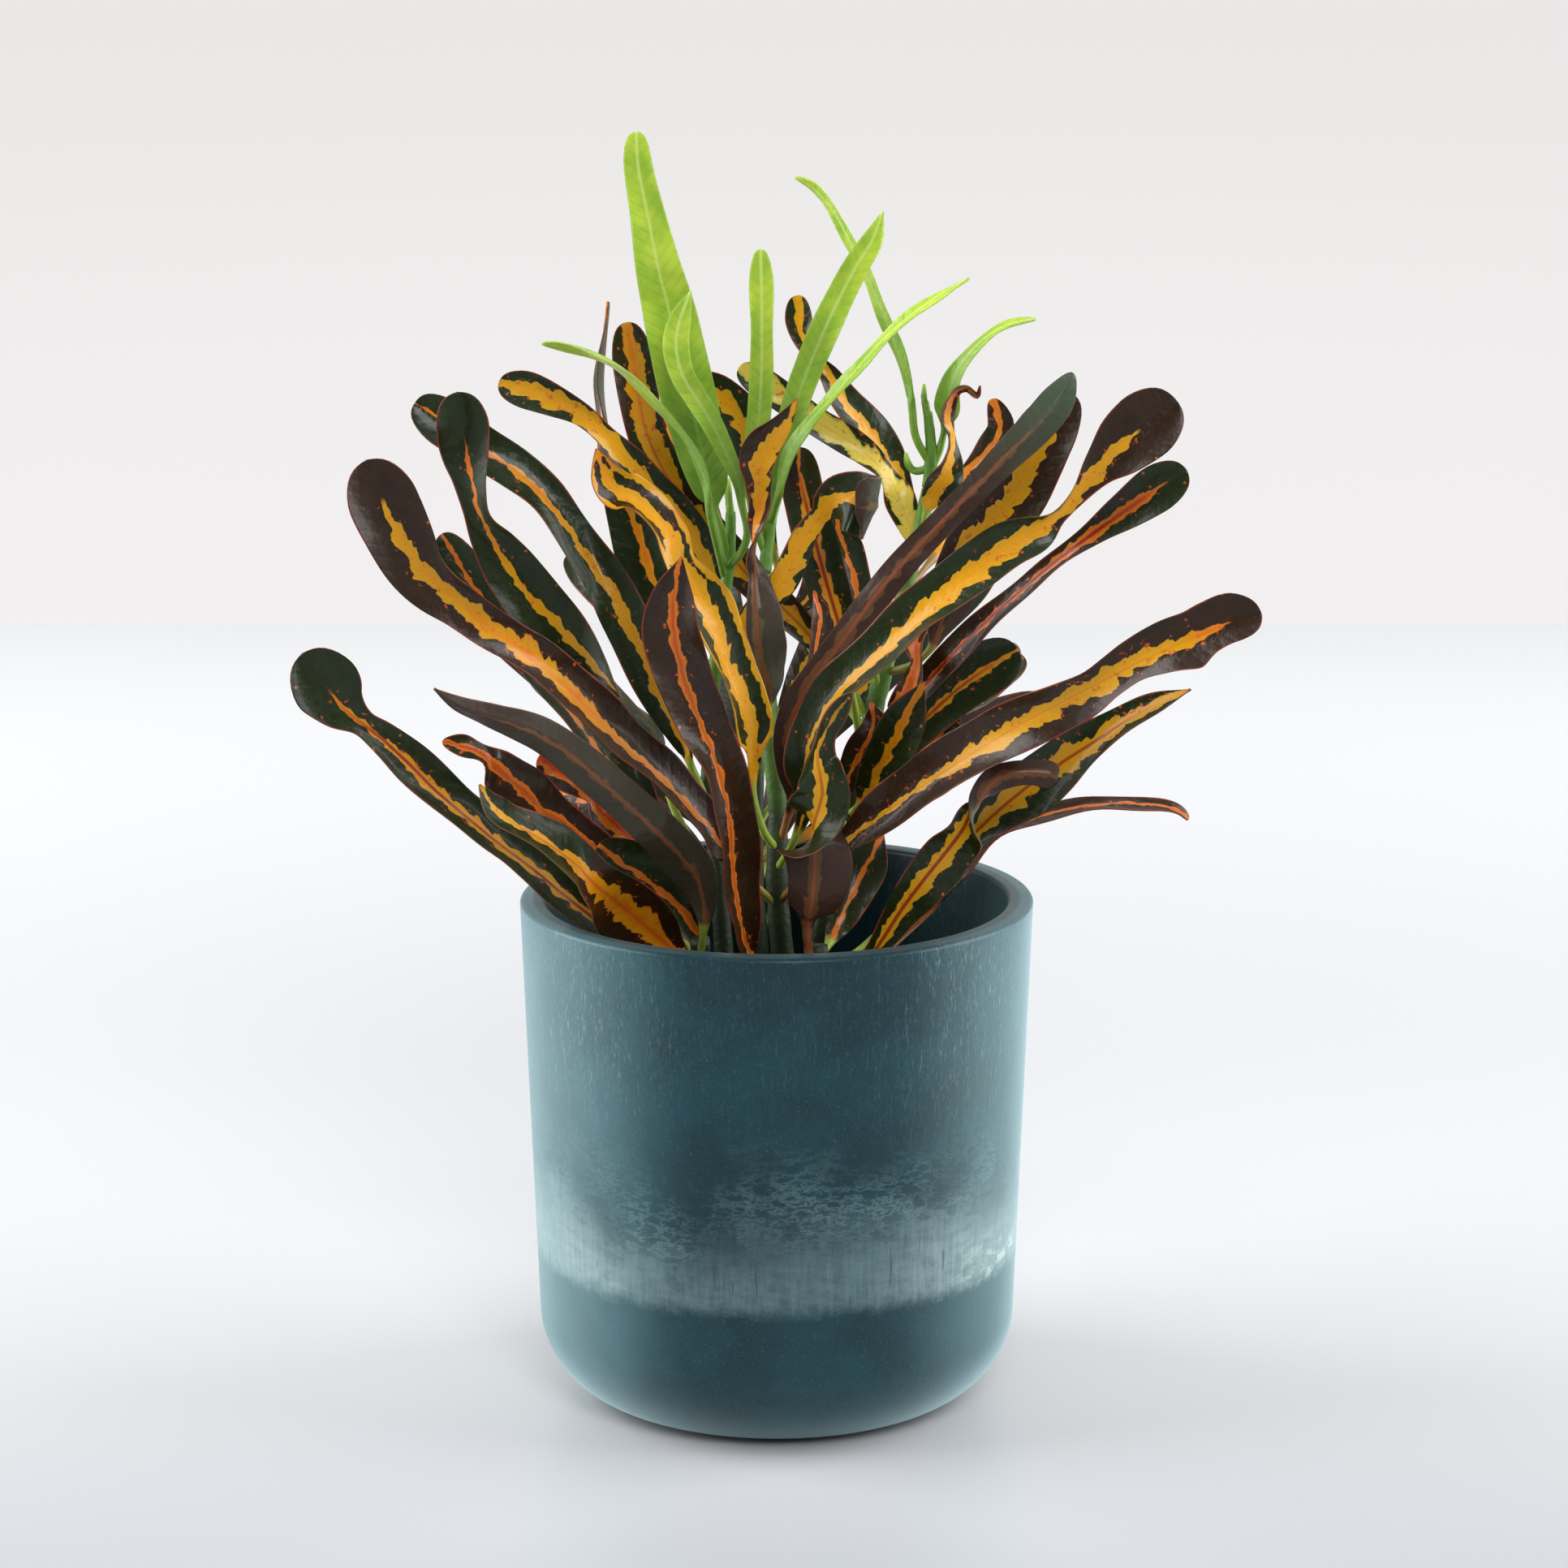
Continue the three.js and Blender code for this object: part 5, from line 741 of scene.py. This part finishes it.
def pot_paint(name, sheen):
    """Teal stone composite: fine pale upright hairs, a crinkled zone, a chalky band, a plain foot, with
    painted sheen on the flanks and painted shade inside.

    Heights and distances are in metres here.
    """
    p = Paint(bpy.data.materials.new(name))
    place = p.coordinate()
    x, y, z = p.parts(place)
    upright = p.vector(x, y, p.times(z, 0.07))
    hair = p.noise(p.vector(x, y, p.times(z, 0.13)), 2700.0, 3.0, 0.7)
    streaks = p.noise(upright, 700.0, 3.0, 0.7)
    cloud = p.noise(place, 38.0, 4.0, 0.6)
    patches = p.noise(p.vector(x, y, p.times(z, 2.6)), 135.0, 6.0, 0.72)
    grit = p.noise(place, 1800.0)
    flank = p.step(p.math("ABSOLUTE", x), 0.02, 0.058)
    colour = p.mix(p.step(cloud, 0.35, 0.7), "#082a32", "#0e3740")

    # A pale painted sheen, standing in for the side lights' reflection, lies on both flanks, more on the
    # left.
    painted_flank_sheen = p.step(p.math("ABSOLUTE", p.math("SUBTRACT", x, 0.005)), 0.026, 0.068)
    colour = p.mix(p.times(painted_flank_sheen, p.linear(cloud, 0.3, 0.25)), colour, "#63898f")
    # Fine pale hairs run down from the rim, most on the flanks, and thin out below.
    hairs = p.times(p.step(hair, 0.5, 0.74), p.step(streaks, 0.34, 0.66))
    hairs = p.times(hairs, p.step(z, 0.07, 0.115), p.linear(flank, 0.85, 0.15))
    colour = p.mix(p.times(hairs, 0.75), colour, "#93adb0")

    # The band's upper border is lower on the left of the front.
    left = p.step(p.math("ABSOLUTE", p.math("ADD", x, 0.034)), 0.024, 0.004)
    border = p.linear(cloud, 0.026, p.linear(left, -0.009, 0.056))
    above = p.math("SUBTRACT", z, border)
    # Just above the band, pale crinkles lie round dark patches.
    ridge = p.math("SUBTRACT", 1.0, p.math("ABSOLUTE", p.linear(patches, 20.0, -10.0)), clamp=True)
    zone = p.times(p.step(above, 0.024, -0.004), p.step(above, -0.014, 0.0))
    crinkle = p.mix(0.4, colour, "#7d999d")
    colour = p.mix(p.times(ridge, zone, p.step(cloud, 0.3, 0.6)), colour, crinkle)
    dark = p.times(p.step(patches, 0.54, 0.4), zone)
    colour = p.mix(p.times(dark, 0.2), colour, "#10292f")

    # The chalk is thickest low in the band, pulled into upright streaks, and fades upward.
    low = p.linear(p.noise(place, 230.0, 5.0, 0.75), 0.007, 0.0382)
    rise = p.math("SUBTRACT", z, low)
    in_band = p.times(p.step(rise, -0.002, 0.004), p.step(above, 0.006, -0.02))
    chalk = p.times(in_band, p.linear(p.step(patches, 0.3, 0.65), 0.3, 0.4))
    chalk = p.linear(p.times(in_band, p.step(streaks, 0.35, 0.7)), 0.25, chalk)
    # On the flanks the real chalk is painted stronger and paler, partly as painted sheen of the side lights.
    chalk = p.times(chalk, p.linear(flank, 0.4, 0.6), clamp=True)
    colour = p.mix(p.times(chalk, 0.85), colour, p.mix(flank, "#7f999c", "#9cb0b0"))
    # Small dark scratches cross the band, and bright flecks of chalk lie at its right end.
    scratches = p.times(p.step(p.noise(upright, 900.0, 1.0), 0.69, 0.73), in_band)
    colour = p.mix(p.times(scratches, 0.6), colour, "#16343b")
    corner = p.times(p.step(x, 0.045, 0.062), p.step(rise, 0.016, 0.0))
    bright = p.times(p.step(patches, 0.52, 0.6), p.times(in_band, corner))
    colour = p.mix(p.times(bright, 0.8), colour, "#c3cfc8")
    colour = p.mix(p.times(p.step(grit, 0.6, 0.75), 0.1), colour, "#9db4b6")

    # The inside and the inner half of the rim are painted darker, as painted shade.
    outward = p.math("SQRT", p.math("ADD", p.times(x, x), p.times(y, y)))
    painted_inner_shade = p.step(p.linear(z, -0.0386, outward), 0.0615, 0.0605)
    painted_inner_shade = p.times(painted_inner_shade, p.step(z, 0.03, 0.035))
    colour = p.mix(p.times(painted_inner_shade, 0.6), colour, "#04090b")

    height = p.math("ADD", p.times(grit, 0.5), streaks)
    return p.finish(
        Base_Color=colour,
        Roughness=p.math("ADD", p.linear(chalk, 0.14, 0.36), p.times(hairs, 0.1)),
        Normal=p.bump(height, 0.00012, 0.3),
        Specular_IOR_Level=0.24,
        Sheen_Weight=sheen,
        Sheen_Roughness=0.42,
        Sheen_Tint="#b4d4da",
    )


def soil_paint():
    """Dark moist potting soil."""
    p = Paint(bpy.data.materials.new("potting_soil"))
    grain = p.noise(p.coordinate(), 500.0, 5.0, 0.7)
    return p.finish(
        Base_Color=p.mix(p.step(grain, 0.3, 0.7), "#1d1410", "#44342a"),
        Roughness=0.9,
        Normal=p.bump(grain, 0.0012, 0.9),
        Specular_IOR_Level=0.2,
    )


def flow(rows, place):
    """A smooth curve through rows of numbers, at a place counted in rows."""
    last = len(rows) - 1
    i = min(int(place), last - 1)
    u = place - i
    a, b, c, d = (rows[min(max(k, 0), last)] for k in (i - 1, i, i + 1, i + 2))
    slope = c - a
    bend = 2 * a - 5 * b + 4 * c - d
    twist = 3 * b - a - 3 * c + d
    return 0.5 * (2 * b + slope * u + bend * u**2 + twist * u**3)


def unit(vector):
    return vector / np.linalg.norm(vector)


def heading(rows, place):
    """The curve's direction, where each row starts with a point."""
    after = flow(rows, min(place + TANGENT_STEP, len(rows) - 1))
    before = flow(rows, max(place - TANGENT_STEP, 0))
    return unit(after[:3] - before[:3])


def spread(values, share):
    """Values set evenly from 0 to 1, read at one share of the way."""
    return float(np.interp(share, np.linspace(0, 1, len(values)), values))


def sighted(right, up, near):
    """The point the eye sees at a place on the upright plane, brought nearer, and its scale."""
    seen = np.array([right, 0.0, up])
    extra = max(near, LAST_STRETCHED) * (DEPTH_STRETCH - 1)
    share = (near + extra) / np.linalg.norm(EYE - seen)
    return seen + (EYE - seen) * share, 1 - share


def ring_faces(rings, count, first=0):
    """The faces that join rings of count points each, the first of them at point number first."""
    faces = []
    for start in range(first, first + (rings - 1) * count, count):
        for j in range(count):
            k = (j + 1) % count
            faces.append((start + j, start + k, start + count + k, start + count + j))
    return faces


def make_piece(name, points, faces):
    mesh = bpy.data.meshes.new(name)
    mesh.from_pydata([tuple(point) for point in points], [], faces)
    mesh.update()
    mesh.shade_smooth()
    return place_object(name, mesh)


def place_object(name, data):
    made = bpy.data.objects.new(name, data)
    bpy.context.scene.collection.objects.link(made)
    return made


def make_tube(name, points, count):
    """A skin through rings of count points each, closed at both ends."""
    faces = ring_faces(len(points) // count, count)
    faces.append(tuple(reversed(range(count))))
    faces.append(tuple(range(len(points) - count, len(points))))
    return make_piece(name, points, faces)


def leaf_rows(shape):
    """Rows of [x, y, z, side x, side y, side z, half width, lean, fold, blade share] down a leaf."""
    points, shapes, rolls = [], [], []
    for row in shape.stalk:
        points.append(sighted(*row)[0])
        shapes.append([STALK_RADIUS, 0.0, 0.0, 0.0])
        rolls.append(shape.blade[0][4])
    for right, up, near, half, roll, *lean in shape.blade:
        point, scale = sighted(right, up, near)
        points.append(point)
        shapes.append([half * scale, lean[0] if lean else 0.0, shape.fold, 1.0])
        rolls.append(roll)
    rows = []
    for i, point in enumerate(points):
        along = unit(points[min(i + 1, len(points) - 1)] - points[max(i - 1, 0)])
        side = unit(np.cross(along, unit(EYE - point)))
        face = np.cross(side, along)
        turn = math.radians(rolls[i])
        side = side * math.cos(turn) + face * math.sin(turn)
        rows.append(np.concatenate([point, side, shapes[i]]))
    return np.array(rows)


def half_thickness(u, half, under, blade, narrowing):
    """From the middle surface to the skin at u, from -1 at one edge of the leaf to 1 at the other.

    A stalk is round. A blade is thickest in the middle, with a raised rib below.
    """
    rod = STALK_RADIUS * math.sqrt(max(0.0, 1 - u * u))
    sheet = EDGE_HALF_THICKNESS + (MIDDLE_HALF_THICKNESS - EDGE_HALF_THICKNESS) * (1 - abs(u)) ** 2
    if under:
        sheet += RIB_HEIGHT * math.exp(-((u * half / RIB_HALF_WIDTH) ** 2)) * narrowing
    return rod + (sheet - rod) * blade


def make_leaf(shape, seed):
    """One leaf: a round stalk that widens into a thin, gently waved blade with a rounded tip."""
    rows = leaf_rows(shape)
    last = len(rows) - 1
    base = len(shape.stalk)
    places = [(i / LEAF_STEPS, 1.0) for i in range((last - 1) * LEAF_STEPS)]
    for k in range(TIP_STEPS + 1):
        turn = math.pi / 2 * k / TIP_STEPS
        places.append((last - 1 + math.sin(turn), math.cos(turn)))
    columns = [math.sin(math.pi / 2 * k / HALF_COLUMNS) for k in range(-HALF_COLUMNS, HALF_COLUMNS + 1)]
    ring = [(u, 0) for u in columns] + [(u, 1) for u in reversed(columns)]
    wave = random.Random(seed)
    phases = [wave.uniform(0, math.tau) for _ in range(2)]
    points = []
    marks = {"place": [], "paint": [], "side": [], "extra": []}
    travelled = 0.0
    previous = rows[0][:3]
    for place, narrowing in places:
        row = flow(rows, place)
        centre = row[:3]
        along = heading(rows, place)
        side = unit(row[3:6] - along * np.dot(row[3:6], along))
        face = np.cross(side, along)
        half_width, lean, fold, blade = row[6:]
        half_width = max(LEAST_HALF_WIDTH, half_width * narrowing)
        fold = math.radians(fold)
        blade = min(max(blade, 0.0), 1.0)
        travelled += float(np.linalg.norm(centre - previous))
        previous = centre
        share = (place - base) / (last - base) if place > base else place / base - 1
        paint = [spread(values, share) for values in (shape.band, shape.glow, shape.red)]
        for u, under in ring:
            edge = abs(u)
            half = half_width * (1 + lean * math.copysign(1, u))
            rise = edge * half * math.sin(fold) * (FIRST_FOLD + (1 - FIRST_FOLD) * edge)
            if blade > 0.5:
                phase = phases[0 if u > 0 else 1]
                ripple = math.sin(travelled / RIPPLE_LENGTH + phase)
                rise += RIPPLE_HEIGHT * edge**2 * ripple * narrowing
            thick = half_thickness(u, half, under, blade, narrowing)
            rise += -thick if under else thick
            points.append((centre + side * u * half * math.cos(fold) + face * rise) * MM)
            marks["place"].append((travelled, u * half, seed * SEED_SPACING))
            marks["paint"].append(paint)
            marks["side"].append(((1 - edge) * half + (1 - blade) * STALK_MARGIN, under, share))
            marks["extra"].append((shape.rib, shape.rim, blade))
    piece = make_tube("leaf_" + shape.name, points, len(ring))
    for key, vectors in marks.items():
        layer = piece.data.attributes.new(key, "FLOAT_VECTOR", "POINT")
        layer.data.foreach_set("vector", np.array(vectors, dtype=np.float32).ravel())
    return piece


def make_stem(name, points, rooted):
    """A stem as a slightly knotted tube through its points."""
    rows = [[*sighted(right, up, near)[0], radius] for right, up, near, radius in points]
    if rooted:
        x, y, _, radius = rows[0]
        rows.insert(0, [x, y, ROOT_END, radius])
    rows = np.array(rows)
    skin = []
    for i in range((len(rows) - 1) * STEM_STEPS + 1):
        place = i / STEM_STEPS
        x, y, z, radius = flow(rows, place)
        along = heading(rows, place)
        across = unit(np.cross([0.0, -1.0, 0.0], along))
        other = np.cross(along, across)
        knot = 1.0
        for depth, spacing in KNOTS:
            knot += depth * math.sin(z / spacing)
        for k in range(STEM_SIDES):
            turn = math.tau * k / STEM_SIDES
            out = across * math.cos(turn) + other * math.sin(turn)
            skin.append((np.array([x, y, z]) + out * radius * knot * STEM_SHRINK) * MM)
    return make_tube(name, skin, STEM_SIDES)


def arc(radius, height, size, start, end, steps):
    """Profile points on part of a circle."""
    turns = [math.radians(start + (end - start) * k / steps) for k in range(steps + 1)]
    return [(radius + size * math.cos(t), height + size * math.sin(t)) for t in turns]


def outer_radius(height):
    return FOOT_RADIUS + (RIM_RADIUS - FOOT_RADIUS) * height / POT_HEIGHT


def make_turned(name, profile, sides):
    """A closed skin turned round the pot's axis from a profile that starts and ends on it."""
    inner = profile[1:-1]
    points = []
    for radius, height in inner:
        for k in range(sides):
            turn = math.tau * k / sides
            points.append((radius * math.cos(turn) * MM, radius * math.sin(turn) * MM, height * MM))
    faces = ring_faces(len(inner), sides)
    first = len(points)
    points.append((0, 0, profile[0][1] * MM))
    points.append((0, 0, profile[-1][1] * MM))
    top = first - sides
    for j in range(sides):
        k = (j + 1) % sides
        faces.append((first, k, j))
        faces.append((first + 1, top + j, top + k))
    return make_piece(name, points, faces)


def make_pot():
    """The pot in one skin; the flat top of its rim and its inner faces get a shaded copy of its paint, with
    little sheen, as painted shade.
    """
    flat = outer_radius(FOOT_FILLET) - FOOT_FILLET
    rise = POT_HEIGHT - RIM_EASE
    heights = np.linspace(FOOT_FILLET, rise, WALL_STEPS + 1)[1:-1]
    profile = [(flat * share, 0.0) for share in FLAT_RINGS]
    profile += arc(flat, FOOT_FILLET, FOOT_FILLET, -90, 0, FILLET_STEPS)
    profile += [(outer_radius(h), h) for h in heights]
    profile += arc(RIM_RADIUS - RIM_EASE, rise, RIM_EASE, 0, 90, EASE_STEPS)
    profile += [(RIM_RADIUS - WALL / 2, POT_HEIGHT)]
    profile += arc(RIM_RADIUS - WALL + RIM_EASE, rise, RIM_EASE, 90, 180, EASE_STEPS)
    profile += [(outer_radius(h) - WALL, h) for h in reversed(heights)]
    profile += arc(flat, FOOT_FILLET, FOOT_FILLET - WALL, 0, -90, INNER_FILLET_STEPS)
    profile += [(0, WALL)]
    pot = make_turned("pot_shell", profile, POT_SIDES)
    pot.data.materials.append(pot_paint("pot_composite", sheen=1.0))
    # The rim's top and the inner faces get a copy with little sheen, as painted shade.
    pot.data.materials.append(pot_paint("pot_shaded_inside", sheen=0.15))
    for face in pot.data.polygons:
        outward = Vector((face.center.x, face.center.y, 0.0)).normalized()
        on_top = face.normal.z > 0.6
        inside = face.normal.dot(outward) < -0.1
        face.material_index = int(on_top or inside)
    return pot


def make_soil_bed(edge):
    """The soil's body with an uneven top."""
    flat = outer_radius(FOOT_FILLET) - FOOT_FILLET
    profile = [(0, WALL + CLEARANCE)]
    profile += arc(flat, FOOT_FILLET, FOOT_FILLET - WALL - CLEARANCE, -90, 0, SOIL_FILLET_STEPS)
    profile += [(edge, SOIL_TOP - SOIL_RISE - EDGE_DROP)]
    for share in np.linspace(1, 0, SOIL_STEPS + 1)[:-1]:
        profile.append((edge * share * TOP_SHARE, SOIL_TOP - SOIL_RISE * share - SKIN_DEPTH))
    profile.append((0, SOIL_TOP - SKIN_DEPTH))
    bed = make_turned("soil_bed", profile, SOIL_SIDES)
    for vertex in bed.data.vertices:
        if vertex.co.z > LUMP_LINE * MM:
            lump = sum(height * noise.noise(vertex.co * fineness) for height, fineness in LUMPS)
            vertex.co.z += min(lump, HIGHEST_LUMP) * MM
    return bed


def make_soil_crumbs(edge):
    """Crumbs scattered over the soil."""
    rng = random.Random(CRUMB_SEED)
    points, faces = [], []
    for _ in range(CRUMBS):
        turn = rng.uniform(0, math.tau)
        reach = (edge - CRUMB_MARGIN) * math.sqrt(rng.random())
        size = rng.uniform(*CRUMB_SIZES)
        ground = SOIL_TOP - SOIL_RISE * reach / edge - CRUMB_DEPTH
        height = min(ground + size * CRUMB_LIFT, HIGHEST_CRUMB)
        centre = Vector((reach * math.cos(turn), reach * math.sin(turn), height))
        for a, b, c, d in ring_faces(CRUMB_RINGS, CRUMB_SIDES, len(points)):
            faces.append((a, d, c, b))
        for i in range(CRUMB_RINGS):
            tilt = math.pi * i / (CRUMB_RINGS - 1)
            for j in range(CRUMB_SIDES):
                yaw = math.tau * j / CRUMB_SIDES
                out = math.sin(tilt)
                ray = Vector((out * math.cos(yaw), out * math.sin(yaw), CRUMB_HEIGHT * math.cos(tilt)))
                stretch = 1 + CRUMB_LUMP * noise.noise(ray * CRUMB_FINENESS + centre)
                points.append((centre + ray * size * stretch) * MM)
    return make_piece("soil_crumbs", points, faces)


def dress(piece, material=None):
    if material:
        piece.data.materials.append(material)
    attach(piece, "root")


def make_sheet(name, left, right, front, back, height):
    """A level sheet of the stage, its paint, and the place and the distance out in that paint."""
    points = [(x, y, height) for y in (front, back) for x in (left, right)]
    sheet = make_piece(name, points, [(0, 1, 3, 2)])
    p = Paint(bpy.data.materials.new(name))
    place = p.coordinate()
    away = p.node("ShaderNodeVectorMath", {0: place}, output="Value", operation="LENGTH")
    sheet.data.materials.append(p.owner)
    return p, place, away


def make_stage():
    """A pale, slightly glossy floor with painted shade and light, and from its edges on a glowing pale
    ground.
    """
    p, place, away = make_sheet("studio_floor", -FLOOR_EDGE, FLOOR_EDGE, -FLOOR_EDGE, FLOOR_BACK, 0.0)
    y = p.parts(place)[1]
    # The floor is painted darker in front and paler toward the back, as painted shade and light.
    floor = p.mix(p.step(y, -0.22, 0.05), "#a6a9ae", "#cacccf")
    floor = p.mix(p.step(y, 0.3, 1.1), floor, "#f6f7fa")
    # Far out the floor turns dark and glows pale instead, as painted light.
    fade = p.step(away, 1.25, 2.1)
    p.finish(
        Base_Color=p.mix(fade, floor, "#585858"),
        Emission_Color=p.mix(fade, "#000000", "#e2e1e1"),
        Emission_Strength=1.0,
        Roughness=0.32,
        Specular_IOR_Level=0.5,
    )

    # The ground glows evenly pale, as painted light.
    p, place, away = make_sheet("studio_ground", -GROUND_EDGE, GROUND_EDGE, -GROUND_EDGE, GROUND_EDGE, -MM)
    far = p.step(away, 1.0, 4.0)
    p.finish(
        Base_Color=p.mix(far, "#585858", "#c0c0c0"),
        Emission_Color=p.mix(far, "#e6e4e4", "#d6d4d3"),
        Emission_Strength=1.0,
        Roughness=1.0,
        Specular_IOR_Level=0.0,
    )


def make_camera():
    camera = bpy.data.cameras.new("camera")
    camera.sensor_width = SENSOR_WIDTH
    camera.lens = SENSOR_WIDTH * FOCAL_PIXELS / PHOTO_PIXELS
    camera.clip_start = 0.05
    holder = place_object("camera", camera)
    holder.location = EYE * MM
    down = math.atan2(EYE[2] - LOOK_HEIGHT, -EYE[1])
    holder.rotation_euler = (math.pi / 2 - down, 0.0, 0.0)
    bpy.context.scene.camera = holder


def make_world():
    """A pale room: bright high up behind the pot, and dim elsewhere above the floor."""
    world = bpy.data.worlds.new("studio")
    p = Paint(world, "Background")
    _, y, z = p.parts(p.coordinate("Generated"))
    behind = p.times(p.step(y, 0.15, 0.55), p.step(z, 0.9, 0.6))
    glow = p.linear(behind, 0.55, 0.16)
    p.finish(Color=p.mix(p.step(z, 0.06, 0.0), p.vector(glow, glow, glow), "#ebe9e8"))
    bpy.context.scene.world = world


def make_light(name, place, target, width, height, power):
    """A rectangular light, with its lengths in metres and its power in watts."""
    lamp = bpy.data.lights.new(name, "AREA")
    lamp.shape = "RECTANGLE"
    lamp.size = width
    lamp.size_y = height
    lamp.energy = power
    holder = place_object(name, lamp)
    holder.location = place
    holder.rotation_euler = (Vector(target) - Vector(place)).to_track_quat("-Z", "Y").to_euler()


def make_lights():
    """A wide light above, a smaller one in front, and a window on either side."""
    middle = (0.0, 0.0, 0.18)
    before = (0.0, -0.35, 0.18)
    make_light("overhead", (0.0, -0.2, 1.8), middle, 1.9, 1.5, 7.5)
    make_light("front", (0.3, -1.9, 1.5), middle, 0.9, 0.7, 26.0)
    make_light("window_left", (-1.5, 0.0, 0.8), before, 1.4, 1.4, 42.0)
    make_light("window_right", (1.5, 0.0, 0.8), before, 1.4, 1.4, 36.0)


def make_plant():
    """Every stem and its leaves, in the table's order."""
    grown = leaf_paint()
    young = young_paint()
    bark = stem_paint()
    seed = 0
    for branch in PLANT:
        rooted = branch.name.startswith("leafy_stem")
        tube = make_stem(branch.name + "_stem", branch.points, rooted)
        dress(tube, bark)
        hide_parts(branch.name)
        for shape in branch.leaves:
            seed += 1
            dress(make_leaf(shape, seed), grown if rooted else young)


bpy.context.scene.view_settings.view_transform = "Standard"
make_camera()
make_world()
make_lights()
make_stage()

pot_shell = make_pot()
dress(pot_shell)
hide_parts("pot")

soil_edge = outer_radius(SOIL_TOP) - WALL - CLEARANCE - SKIN_INSET
soil_bed = make_soil_bed(soil_edge)
soil_crumbs = make_soil_crumbs(soil_edge)
earth = soil_paint()
dress(soil_bed, earth)
dress(soil_crumbs, earth)
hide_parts("soil")

make_plant()
